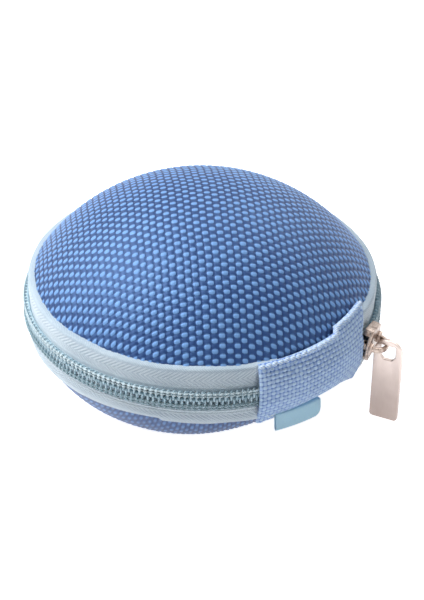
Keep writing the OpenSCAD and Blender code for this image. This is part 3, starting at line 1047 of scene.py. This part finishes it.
def hinge_patch(material):
    """Woven patch over the tape ends, with its edges turned under."""
    path, normal, length = patch_path()
    rows = int(length[-1] / PATCH_YARN * PATCH_CELL)
    columns = int(math.radians(2 * PATCH_HALF) * PATCH_R / PATCH_YARN * PATCH_CELL)
    up = np.linspace(0, 1, rows)[:, None]
    share = np.linspace(0, 1, columns)[None, :]
    nominal_z = np.interp(up * np.interp(PATCH_TOP + 1, path[:, 1], length), length, path[:, 1])
    az = -PATCH_HALF + share * (PATCH_HALF + patch_reach(nominal_z))
    full = np.interp(patch_top(az), path[:, 1], length)
    w = up * full
    mid_r = np.interp(w, length, path[:, 0]) - drawn_in(az, w)
    mid_z = np.interp(w, length, path[:, 1])
    n_r = np.interp(w, length, normal[:, 0])
    n_z = np.interp(w, length, normal[:, 1])
    arc = np.radians(az) * PATCH_R
    bow = 0.25 * ripple(arc, 31, 40)
    u, v = arc / PATCH_YARN, (w + bow) / PATCH_YARN
    height, crest_light, weft = plain_weave(u, v, crimp=0.13, bulge=0.26, set_back=0.0, cover=0.94)
    from_side = np.minimum(share, 1 - share) * PATCH_WIDE
    edge = np.minimum(from_side, np.minimum(w, full - w))
    turned_under = 0.35 * (1 - ramp(edge, 0, 0.5)) ** 2
    hem = 0.12 * bell(from_side, 1.0, 0.7)
    lift = height - 0.1 - turned_under + hem
    outer = around(az, mid_r + n_r * lift, mid_z + n_z * lift)
    back = around(az, mid_r - n_r * PATCH_BACK, mid_z - n_z * PATCH_BACK)
    piece = two_faced("hinge_patch_cloth", outer, back, u, v, crest_light, weft, material)
    carried(piece, "hinge_patch")
    return piece


def two_faced(name, outer, back, u, v, crest_light, weft, material):
    """A closed sheet: its face, its back, and the edge between them."""
    rows, columns = outer.shape[:2]
    count = rows * columns
    faces = grid_faces(rows, columns) + [[k + count for k in f] for f in grid_faces(rows, columns, flip=True)]
    index = np.arange(count).reshape(rows, columns)
    rim = np.concatenate([index[0, :-1], index[:-1, -1], index[-1, :0:-1], index[:0:-1, 0]])
    after = np.roll(rim, -1)
    faces += np.stack([rim, after, after + count, rim + count], axis=1).tolist()
    points = np.concatenate([outer.reshape(-1, 3), back.reshape(-1, 3)])
    cloth = np.stack(np.broadcast_arrays(u, v), axis=-1).reshape(-1, 2)
    marks = {"crest_light": np.concatenate([crest_light.ravel(), 0.4 + 0 * crest_light.ravel()]),
             "weft": np.concatenate([weft.ravel(), weft.ravel()])}
    return mesh_piece(name, points, faces, material, np.concatenate([cloth, cloth]), marks, closed=True)


EDGE_STITCH_PITCH = 1.3
EDGE_STITCH_HALF = 0.62
EDGE_STITCH_R = 0.5


def patch_edge_stitches(material):
    """Row of fat stitches that lie flat along the patch's upper edge."""
    rng = np.random.default_rng(17)
    path, normal, length = patch_path()
    span = PATCH_HALF + patch_reach(PATCH_TOP)
    count = int(math.radians(span) * LID_R / EDGE_STITCH_PITCH)
    step = np.linspace(-1, 1, 9)
    parts = []
    for k in range(count):
        az = -PATCH_HALF + (k + 0.5) / count * span + rng.uniform(-0.1, 0.1)
        around_case = az + math.degrees(EDGE_STITCH_HALF / LID_R) * step * rng.uniform(0.85, 1.1)
        at = np.interp(patch_top(around_case), path[:, 1], length) - 0.6 + 0.2 * step
        at += rng.uniform(-0.06, 0.06)
        rise = 0.34 - 0.2 * step ** 2
        r = np.interp(at, length, path[:, 0]) + np.interp(at, length, normal[:, 0]) * rise
        z = np.interp(at, length, path[:, 1]) + np.interp(at, length, normal[:, 1]) * rise
        radius = EDGE_STITCH_R * np.sqrt(np.clip(1 - (step * 0.96) ** 2, 0.02, 1))
        parts.append(tube_mesh(around(around_case, r, z), radius, 8))
    return joined_piece("patch_edge_stitches", parts, material)


# ---- Tag ----

TAG_AZ = -6.6
TAG_WIDE = 11.4
TAG_LONG = 3.6
TAG_TOP = 6.4
TAG_LAYER = 0.4
TAG_GAP = 0.25
TAG_LEAN = 5
TAG_TUCK = 1.2
TAG_CORNER = 1.5
TAG_SET_BACK = 0.15
TAG_RIBS = (0.3, 0.75, 1.2, 1.65)


def side_tag(material):
    """Ribbon folded in half and sewn into the patch: two layers with a rolled fold at the lower end."""
    slope = (PATCH_SIDE_R - PATCH_LOW_R) / (PATCH_LOW - PATCH_SIDE_Z)
    top_r = PATCH_SIDE_R - slope * (TAG_TOP - PATCH_SIDE_Z)
    fold_r = TAG_LAYER + TAG_GAP / 2
    mid = TAG_LAYER / 2
    front_x, rear_top = 2 * fold_r - mid, -0.5
    down = np.linspace(0, TAG_LONG, 22)[:-1]
    tuck = np.linspace(TAG_TUCK, 0.15, 6)
    face = [(front_x - t, 0.1) for t in tuck] + [(front_x, -d) for d in down]
    fold = arc_points((fold_r, -TAG_LONG), fold_r - mid, 0, -180, 13)
    rear = [(mid, -d) for d in down[:3:-1]] + [(mid - t, rear_top) for t in tuck[::-1]]
    path = np.array(face + fold + rear)
    normal = left_normals(path)
    ribs = 0.03 * sum(bell(run_length(path), TAG_TUCK + d, 0.12) for d in TAG_RIBS)
    half = TAG_LAYER / 2 - 0.03
    section = np.concatenate([path + normal * (half + ribs)[:, None], (path - normal * half)[::-1]])
    share = np.linspace(0, 1, 60)
    az = TAG_AZ + (share - 0.5) * math.degrees(TAG_WIDE / top_r)
    to_corner = np.maximum(TAG_CORNER - (1 - share) * TAG_WIDE, 0)
    corner_lift = TAG_CORNER - np.sqrt(TAG_CORNER ** 2 - to_corner ** 2)
    x, y = section.T[:, None, :]
    y = y * (1 - corner_lift / TAG_LONG)[:, None]
    lean = math.radians(TAG_LEAN)
    top_r -= drawn_in(TAG_AZ, PATCH_LOW - TAG_TOP) + TAG_SET_BACK
    r = top_r + x * math.cos(lean) - y * math.sin(lean)
    z = -TAG_TOP + x * math.sin(lean) + y * math.cos(lean)
    piece = swept("side_tag_ribbon", az, r, z, material)
    carried(piece, "side_tag", "base")


# ---- Slider and pull ----

# Angle from which an edge of a metal piece is sharp
METAL_SHARP = 32


def slider_place(tip=0.0):
    """Turns (along the zip, height, outwards) into the case's frame at the slider. tip leans it outwards
    at its top, about the middle of the chain."""
    level_out = level(SLIDER_AZ)
    upright = Vector((0, 0, 1))
    out = level_out * math.cos(tip) - upright * math.sin(tip)
    up = upright * math.cos(tip) + level_out * math.sin(tip)
    along = Vector((level_out.y, -level_out.x, 0))
    turn = Matrix((along, up, out)).transposed().to_4x4()
    middle = (level_out - out) * CHAIN_MID_R + upright * PARTING
    return Matrix.Translation(middle * MM) @ turn


def plate_mesh(loops, low, high, edge):
    """Mesh of a flat plate with rounded edges, between two heights over its outlines, in millimetres.
    The first outline is the outside and the rest are holes."""
    curve = bpy.data.curves.new("outline", "CURVE")
    curve.dimensions = "2D"
    curve.fill_mode = "BOTH"
    curve.extrude = ((high - low) / 2 - edge) * MM
    curve.bevel_depth = edge * MM
    curve.bevel_resolution = 3
    curve.offset = -edge * MM
    for loop in loops:
        spline = curve.splines.new("POLY")
        spline.points.add(len(loop) - 1)
        for point, (x, y) in zip(spline.points, loop):
            point.co = (x * MM, y * MM, 0, 1)
        spline.use_cyclic_u = True
    holder = placed("outline", curve)
    bpy.context.view_layer.update()
    mesh = bpy.data.meshes.new_from_object(holder.evaluated_get(bpy.context.evaluated_depsgraph_get()))
    bpy.data.objects.remove(holder)
    bpy.data.curves.remove(curve)
    mesh.transform(Matrix.Translation((0, 0, (low + high) / 2 * MM)))
    return mesh


def metal_piece(name, plates, place, material):
    """One piece from plate meshes, put in place and given a cloth map that follows its own length."""
    shape = bmesh.new()
    for plate in plates:
        shape.from_mesh(plate)
    bmesh.ops.remove_doubles(shape, verts=shape.verts, dist=0.001 * MM)
    layer = shape.loops.layers.uv.new("cloth")
    for face in shape.faces:
        face.smooth = True
        for loop in face.loops:
            loop[layer].uv = (loop.vert.co.x / MM, loop.vert.co.y / MM)
    shape.transform(place)
    bmesh.ops.recalc_face_normals(shape, faces=shape.faces)
    mesh = bpy.data.meshes.new(name)
    shape.to_mesh(mesh)
    shape.free()
    mesh.set_sharp_from_angle(angle=math.radians(METAL_SHARP))
    mesh.materials.append(material)
    return placed(name, mesh)


def arc_points(mid, radius, from_angle, to_angle, count):
    """Points on an arc, angles in degrees counter-clockwise from +X."""
    angles = np.radians(np.linspace(from_angle, to_angle, count))
    return [(mid[0] + radius * math.cos(a), mid[1] + radius * math.sin(a)) for a in angles]


SLIDER_L = 6.8
SLIDER_W = 8
TAIL_W = 5.9
NOSE_W = 2.6
SHOULDER_AT = 1.2
MOUTH_AT = 1.9
MOUTH_WALL = 0.8
INNER_W = 5.8
PLATE_T = 0.8
OUTER_PLATE = COIL_R + 0.6
INNER_PLATE = TAPE_IN_R - 1.25
OUTER_FLANGE = COIL_IN_R + 0.5
INNER_FLANGE = INNER_PLATE + 0.3
FLANGE_Z = COIL_HALF + 0.25
POST_HALF_W = 0.9
POST_HALF_L = 1.5
LUG_L = 1.6
LUG_W = 2
LUG_H = 0.7
BRIDGE_OUT_R = 2.95
BRIDGE_IN_R = 2.05
BRIDGE_W = 1.2
BRIDGE_FOOT = OUTER_PLATE + PLATE_T
BRIDGE_MID = BRIDGE_FOOT + 0.45

# Where the slider's width changes along it
STATIONS = (-SLIDER_L / 2, SHOULDER_AT, MOUTH_AT, SLIDER_L / 2)

# Radii of the rounded edges, and how far walls and posts run into the plates that carry them
PLATE_EDGE = 0.25
INNER_EDGE = 0.22
POST_EDGE = 0.05
FLANGE_EDGE = 0.12
INNER_FLANGE_EDGE = 0.1
BRIDGE_EDGE = 0.3
SINK = 0.3
POST_SINK = 0.2


def rounded_loop(corners, radius):
    """Closed outline with each corner of a polygon rounded off."""
    points = []
    for k, corner in enumerate(corners):
        corner = Vector(corner)
        back = (Vector(corners[k - 1]) - corner).normalized()
        ahead = (Vector(corners[(k + 1) % len(corners)]) - corner).normalized()
        half = back.angle(ahead) / 2
        start, stop = corner + back * radius / math.tan(half), corner + ahead * radius / math.tan(half)
        for t in (0, 0.25, 0.5, 0.75, 1):
            points.append(tuple(start.lerp(corner, t).lerp(corner.lerp(stop, t), t)))
    return points


def half_width(x):
    """Half of the slider's width at a place along it: narrow tail, wide shoulders, pointed nose."""
    return float(np.interp(x, STATIONS, (TAIL_W / 2, SLIDER_W / 2, SLIDER_W / 2, NOSE_W / 2)))


def channel_half(x):
    """Half of the room between the flanges: straight at the tail, spreading to the mouths."""
    return float(np.interp(x, (-SHOULDER_AT, SLIDER_L / 2), (FLANGE_Z, SLIDER_W / 2 - MOUTH_WALL)))


def plate_outline(widest):
    """Outline of a plate, no wider than asked for."""
    side = [(x, min(half_width(x), widest / 2)) for x in STATIONS]
    if widest < SLIDER_W:
        side[1:3] = [(x, widest / 2) for x in (-SLIDER_L / 2 + 0.5, SLIDER_L / 2 - 0.9)]
    return rounded_loop([(x, -y) for x, y in side] + side[::-1], 0.35)


def flange_outline(side, widest):
    """Wall along one edge of a plate; side is 1 at the top and -1 below."""
    stop = MOUTH_AT + 0.62
    stations = np.linspace(-SLIDER_L / 2, stop, 9)
    outer = [(x, side * min(half_width(x), widest / 2)) for x in stations]
    inner = [(x, side * min(channel_half(x), half_width(x) - 0.02, widest / 2 - 0.3)) for x in stations]
    loop = outer + inner[::-1]
    return loop if side < 0 else loop[::-1]


def slider_body(material):
    post_r = (POST_HALF_L ** 2 + POST_HALF_W ** 2) / (2 * POST_HALF_W)
    spread = math.degrees(math.asin(POST_HALF_L / post_r))
    post_at = SLIDER_L / 2 - POST_HALF_L
    post = arc_points((post_at, post_r - POST_HALF_W), post_r, 270 - spread, 270 + spread, 12)
    post += arc_points((post_at, POST_HALF_W - post_r), post_r, 90 - spread, 90 + spread, 12)[1:-1]
    end = SLIDER_L / 2
    plates = [
        plate_mesh([plate_outline(SLIDER_W)], OUTER_PLATE, BRIDGE_FOOT, PLATE_EDGE),
        plate_mesh([plate_outline(INNER_W)], INNER_PLATE - PLATE_T, INNER_PLATE, INNER_EDGE),
        plate_mesh([post], INNER_PLATE - POST_SINK, OUTER_PLATE + POST_SINK, POST_EDGE),
    ]
    for side in (-1, 1):
        outer = flange_outline(side, SLIDER_W)
        inner = flange_outline(side, INNER_W)
        plates.append(plate_mesh([outer], OUTER_FLANGE, OUTER_PLATE + SINK, FLANGE_EDGE))
        plates.append(plate_mesh([inner], INNER_PLATE - SINK, INNER_FLANGE, INNER_FLANGE_EDGE))
        tip, root, half = side * end, side * (end - LUG_L), side * LUG_W / 2
        lug = [(root, -half), (tip, -half), (tip, half), (root, half)]
        plates.append(plate_mesh([lug], BRIDGE_FOOT - SINK, BRIDGE_FOOT + LUG_H, PLATE_EDGE))
    piece = metal_piece("slider_casting", plates, slider_place(SLIDER_TIP), material)
    carried(piece, "slider_body", "slider")


def slider_bridge(material):
    """Arched bar over the outer plate, like a staple."""
    mid = (0, BRIDGE_MID)
    foot = BRIDGE_FOOT - 0.1
    loop = [(BRIDGE_OUT_R, foot)] + arc_points(mid, BRIDGE_OUT_R, 0, 180, 40) + [(-BRIDGE_OUT_R, foot)]
    loop += [(-BRIDGE_IN_R, foot)] + arc_points(mid, BRIDGE_IN_R, 180, 0, 32) + [(BRIDGE_IN_R, foot)]
    plate = plate_mesh([loop], -BRIDGE_W / 2, BRIDGE_W / 2, BRIDGE_EDGE)
    stand_up = Matrix(((1, 0, 0, 0), (0, 0, 1, 0), (0, 1, 0, 0), (0, 0, 0, 1)))
    piece = metal_piece("slider_arch", [plate], slider_place(SLIDER_TIP) @ stand_up, material)
    carried(piece, "slider_bridge", "slider")


PULL_L = 21
PULL_W = 6.5
PULL_T = 1.0
PULL_LIMB = 1.35
PULL_SIDE = 1.5
PULL_IN_R = PIVOT_R - 2.65
HOLE_TOP = PIVOT_Z + BRIDGE_W / 2 + 0.15
HOLE_L = 3.75
HOLE_NARROW = 0.55
HOLE_CORNER = 0.42
PULL_CORNER = 0.8
PULL_EDGE = 0.18


def pull_tab(material):
    """Flat tab with a round head, hanging in the plane across the zip."""
    mid_r = PULL_IN_R + PULL_W / 2
    top = HOLE_TOP + PULL_LIMB
    head_z = top - PULL_W / 2
    foot_z = top - PULL_L
    c = PULL_CORNER
    outline = arc_points((mid_r, head_z), PULL_W / 2, 0, 180, 40)
    outline += arc_points((PULL_IN_R + c, foot_z + c), c, 180, 270, 10)
    outline += arc_points((PULL_IN_R + PULL_W - c, foot_z + c), c, 270, 360, 10)
    half_w = PULL_W / 2 - PULL_SIDE
    corner_z = HOLE_TOP - HOLE_L
    narrow = half_w * HOLE_NARROW
    hole = rounded_loop([
        (mid_r - half_w, HOLE_TOP), (mid_r - half_w, corner_z + 1), (mid_r - narrow, corner_z),
        (mid_r + narrow, corner_z), (mid_r + half_w, corner_z + 1), (mid_r + half_w, HOLE_TOP),
    ], HOLE_CORNER)
    plate = plate_mesh([outline, hole], -PULL_T / 2, PULL_T / 2, PULL_EDGE)
    on_edge = Matrix(((0, 0, 1, 0), (0, 1, 0, 0), (1, 0, 0, 0), (0, 0, 0, 1)))
    piece = metal_piece("pull_tab_plate", [plate], slider_place() @ on_edge, material)
    carried(piece, "pull_tab", "pull")


# ---- Inside ----

def dome_arc(inset, to_r, count=40):
    """Section of a dome inset from the cover, from the crown out to a radius."""
    radius = DOME_R - inset
    angles = np.linspace(0, math.asin(to_r / radius), count)
    return [(radius * math.sin(a), DOME_MID + radius * math.cos(a)) for a in angles]


def floor_arc(inset, to_r, count=40):
    """Section of the base inset from the cover, from its middle out to a radius."""
    radius = CORNER_R - inset
    angles = np.linspace(0, math.asin((to_r - CORNER_MID_R) / radius), count)
    return [(r, inset - DEPTH) for r in np.linspace(0, CORNER_MID_R, 12)[:-1]] + [
        (CORNER_MID_R + radius * math.sin(a), CORNER_MID_Z - radius * math.cos(a)) for a in angles]


# Depths below the covers' faces of the foam's and the lining's two sides
COVER_T = 0.5
FOAM_IN = 3.0
LINING_IN = FOAM_IN + LINING_T


def lid_layer(name, node, outside, inside, material):
    out_r, in_r = LID_R - outside, LID_R - inside
    section = dome_arc(outside, out_r - 0.01) + [(out_r, RIM_GAP), (in_r, RIM_GAP)]
    piece = turned(name, section + dome_arc(inside, in_r - 0.01)[::-1], material)
    carried(piece, node, "lid")


def base_layer(name, node, outside, inside, material):
    out_r, in_r = BASE_R - outside, BASE_R - inside
    wall_z = -RIM_GAP - 1.5
    wall = [(out_r, wall_z), (out_r, -RIM_GAP), (in_r, -RIM_GAP), (in_r, wall_z)]
    section = floor_arc(outside, out_r - 0.3) + wall + floor_arc(inside, in_r - 0.3)[::-1]
    piece = turned(name, section, material)
    press_base(piece)
    carried(piece, node, "base")


def rim_binding(name, side, rim_r, body, material):
    """Bias tape folded over a rim, softly rounded and puckered by its stitches."""
    az = np.linspace(0, 360, 721)
    low, high, leg = RIM_GAP - BINDING_T, RIM_GAP, RIM_GAP + BINDING_LEG
    leg_r = rim_r - LINING_IN
    section = rounded_path([
        (rim_r, high), (rim_r, low), (BINDING_IN_R, low), (BINDING_IN_R, leg), (leg_r, leg), (leg_r, high),
        (rim_r, high),
    ], 46, soft=0.2)[:-1]
    pucker = 0.04 * np.cos(np.radians(az) * rim_r / 2.6 * TURN)[:, None]
    r = section[:, 0] + pucker * (section[:, 0] < leg_r)
    piece = swept(name + "_tape", az, r, side * section[:, 1], material)
    carried(piece, name, body)


NET_STRAND = 0.18
NET_RIM = 0.3
NET_MESH = 2.1
BAND_RIB = 0.9


def pocket_net(material):
    """Diamond net over the lid's pocket, with a cord round its edge."""
    mid_z = NET_Z + 0.2
    reach = NET_R - 0.25
    parts = []
    for lean in (1, -1):
        for k in np.arange(-2 * reach, 2 * reach, NET_MESH):
            x = np.arange(-reach, reach, 0.35)
            y = lean * x + k
            inside = (np.hypot(x, y) < reach) & (y > NET_Y)
            x, y = x[inside], y[inside]
            if len(x) > 4:
                wave = 0.1 * lean * np.cos(x / NET_MESH * TURN)
                strand = np.stack([x, y, mid_z + wave + PARTING], axis=-1)
                parts.append(tube_mesh(strand, NET_STRAND, 5))
    tilt = math.degrees(math.asin(NET_Y / reach))
    rim = np.linspace(-90 + tilt, 90 - tilt, 160)
    parts.append(tube_mesh(around(rim, reach, mid_z), NET_RIM, 6))
    piece = joined_piece("pocket_net_mesh", parts, material)
    carried(piece, "pocket_net", "lid")


def pocket_band(material):
    """Ribbed elastic along the mouth of the pocket."""
    y = np.linspace(BAND_Y + 0.05, NET_Y - 0.05, 41)
    rib = 0.1 * np.cos((y - BAND_Y) / BAND_RIB * TURN)
    edge = 0.25 * np.clip(1 - np.minimum(y - BAND_Y, NET_Y - y) / 0.5, 0, 1) ** 2
    x = np.linspace(-1, 1, 240)[None, :] * np.sqrt(BAND_R ** 2 - y ** 2)[:, None]
    pucker = 0.05 * np.cos(x / 1.3 * TURN)
    height = (rib - edge - 0.12)[:, None] + pucker
    y = y[:, None] + 0 * x
    top = np.stack([x, y, NET_Z + BAND_T + height + PARTING], axis=-1)
    under = np.stack([x, y, NET_Z - height * 0.4 + PARTING], axis=-1)
    # Painted light: the elastic is painted paler on its ribs and darker between them
    crest_light = np.clip(0.5 + 4 * height, 0, 1)
    piece = two_faced("pocket_band_elastic", top, under, x, y, crest_light, 0 * x, material)
    carried(piece, "pocket_band", "lid")


def hinge_backing(material):
    """Strip inside the hinge that joins the two bindings, with a soft rib along each edge."""
    low, high = node_low("hinge_backing").z - PARTING, node_high("hinge_backing").z - PARTING
    out_r = node_high("hinge_backing").y
    thick = 0.6
    az = np.linspace(-20, 20, 161)
    section = rounded_path([
        (out_r, low), (out_r, high), (out_r - thick, high), (out_r - thick, low), (out_r, low),
    ], 60, soft=0.3)[:-1]
    rib = 0.08 * np.cos(section[:, 1] / 1.1 * TURN) * (section[:, 0] < out_r - thick / 2)
    piece = swept("hinge_backing_strip", az, section[:, 0] - rib, section[:, 1], material)
    return carried(piece, "hinge_backing")


# ---- Stage ----

# Light that the world and the floor give, and the floor's half width in metres
AMBIENT = 0.08
FLOOR_GLOW = 0.95
FLOOR_HALF = 3.0

# Metres from the middle of the case to each lamp
LAMP_DISTANCE = 0.9


def seen(tree):
    """1 for rays straight from the camera and for mirrored or transmitted ones, otherwise 0."""
    path = tree.nodes.new("ShaderNodeLightPath")
    direct = Value(tree, path.outputs["Is Camera Ray"])
    mirrored = Value(tree, path.outputs["Is Glossy Ray"])
    through = Value(tree, path.outputs["Is Transmission Ray"])
    return (direct + mirrored + through).math("MINIMUM", 1.0)


def floor():
    """Pale paper floor."""
    mesh = bpy.data.meshes.new("floor")
    corners = [(x * FLOOR_HALF, y * FLOOR_HALF, 0) for x, y in ((-1, -1), (1, -1), (1, 1), (-1, 1))]
    mesh.from_pydata(corners, [], [(0, 1, 2, 3)])
    paper = Finish("floor_paper", roughness=0.9)
    feed(paper.tree, paper.shader.inputs["Base Color"], srgb(238, 240, 244))
    feed(paper.tree, paper.shader.inputs["Emission Color"], (1, 1, 1, 1))
    feed(paper.tree, paper.shader.inputs["Emission Strength"], seen(paper.tree) * FLOOR_GLOW)
    mesh.materials.append(paper.material)
    placed("floor", mesh)


def studio():
    """World that lights softly and shows white behind the object."""
    world = bpy.data.worlds.new("studio")
    bpy.context.scene.world = world
    world.use_nodes = True
    background = world.node_tree.nodes["Background"]
    background.inputs["Color"].default_value = (1, 1, 1, 1)
    strength = seen(world.node_tree) * (1 - AMBIENT) + AMBIENT
    feed(world.node_tree, background.inputs["Strength"], strength)


def softbox(name, az, elevation, size, power):
    """Square area lamp that faces the middle of the case."""
    lamp = bpy.data.lights.new(name, "AREA")
    lamp.size = size
    lamp.energy = power
    holder = placed(name, lamp)
    back = direction(az, elevation)
    holder.location = back * LAMP_DISTANCE + Vector((0, 0, PARTING * MM))
    holder.rotation_euler = back.to_track_quat("Z", "Y").to_euler()


def lights():
    softbox("key", CAMERA_AZ - 98, 52, size=0.7, power=11.2)
    softbox("right", CAMERA_AZ + 56, 8, size=0.5, power=1.0)
    softbox("back", CAMERA_AZ + 140, 45, size=0.6, power=2.2)


# ---- Scene ----

make_camera()
bpy.context.scene.view_settings.view_transform = "Standard"
floor()
studio()
lights()

# The nylons run from painted shade in the gaps (deep) to a painted highlight on the floats (high)
nylon = woven_finish(
    "nylon", srgb(6, 22, 62), srgb(20, 46, 96), srgb(122, 166, 222), shine=1.25, glint=srgb(138, 178, 236))
patch_nylon = woven_finish(
    "patch_nylon", srgb(44, 72, 140), srgb(128, 160, 222), srgb(206, 230, 255), shine=0.5,
    glint=srgb(170, 205, 250), lower_share=0.62, streak=0.8)
# Tape and elastic colours run from painted shade in the valleys to painted light on the ridges
tape = tape_finish("tape", srgb(166, 188, 206), srgb(232, 244, 252))
coil = coil_finish("coil", srgb(160, 192, 206), srgb(206, 228, 238))
thread = thread_finish("thread", srgb(184, 208, 218), srgb(228, 242, 247))
# Darker copy of the thread for the lower row of stitches: painted shade
shaded_thread = thread_finish("shaded_thread", srgb(120, 150, 162), srgb(168, 194, 204))
edge_thread = thread_finish("edge_thread", srgb(170, 202, 244), srgb(232, 244, 255))
ribbon = ribbon_finish("ribbon", srgb(180, 226, 255), srgb(200, 240, 255))
nickel = brushed_finish("nickel", srgb(164, 148, 141), srgb(226, 211, 203))
casting = cast_finish("casting", srgb(130, 112, 102), srgb(192, 176, 166))
lining = knit_finish("lining", srgb(30, 34, 44), srgb(74, 80, 96), courses=1.6, wales=1.2)
netting = thread_finish("netting", srgb(34, 40, 56), srgb(78, 88, 110))
elastic = tape_finish("elastic", srgb(26, 32, 46), srgb(72, 80, 100))
binding = knit_finish("binding", srgb(28, 32, 44), srgb(66, 72, 88), courses=2.2, wales=2.2)
foam = foam_finish("foam", srgb(36, 37, 42), srgb(58, 59, 64))

lid_cloth(nylon)
base_cloth(nylon)
lower_tape(tape)
upper_tapes(tape)
coil_row("upper_coil", 1, 0, "lid", coil)
coil_row("lower_coil", -1, 0.5, "base", coil)
cord_piece("upper_cord", 1, "lid", thread)
cord_piece("lower_cord", -1, "base", thread)
coil_stitches("upper_coil_stitches", 1, 0, "lid", thread)
coil_stitches("lower_coil_stitches", -1, 0.5, "base", shaded_thread)

for piece in (hinge_patch(patch_nylon), patch_edge_stitches(edge_thread), hinge_backing(binding)):
    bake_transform(piece)
side_tag(ribbon)

slider_body(casting)
slider_bridge(casting)
pull_tab(nickel)

lid_layer("lid_foam", "lid_shell", COVER_T, FOAM_IN, foam)
lid_layer("lid_knit", "lid_lining", FOAM_IN, LINING_IN, lining)
base_layer("base_foam", "base_shell", COVER_T, FOAM_IN, foam)
base_layer("base_knit", "base_lining", FOAM_IN, LINING_IN, lining)
rim_binding("lid_binding", 1, LID_R, "lid", binding)
rim_binding("base_binding", -1, BASE_R, "base", binding)
pocket_net(netting)
pocket_band(elastic)
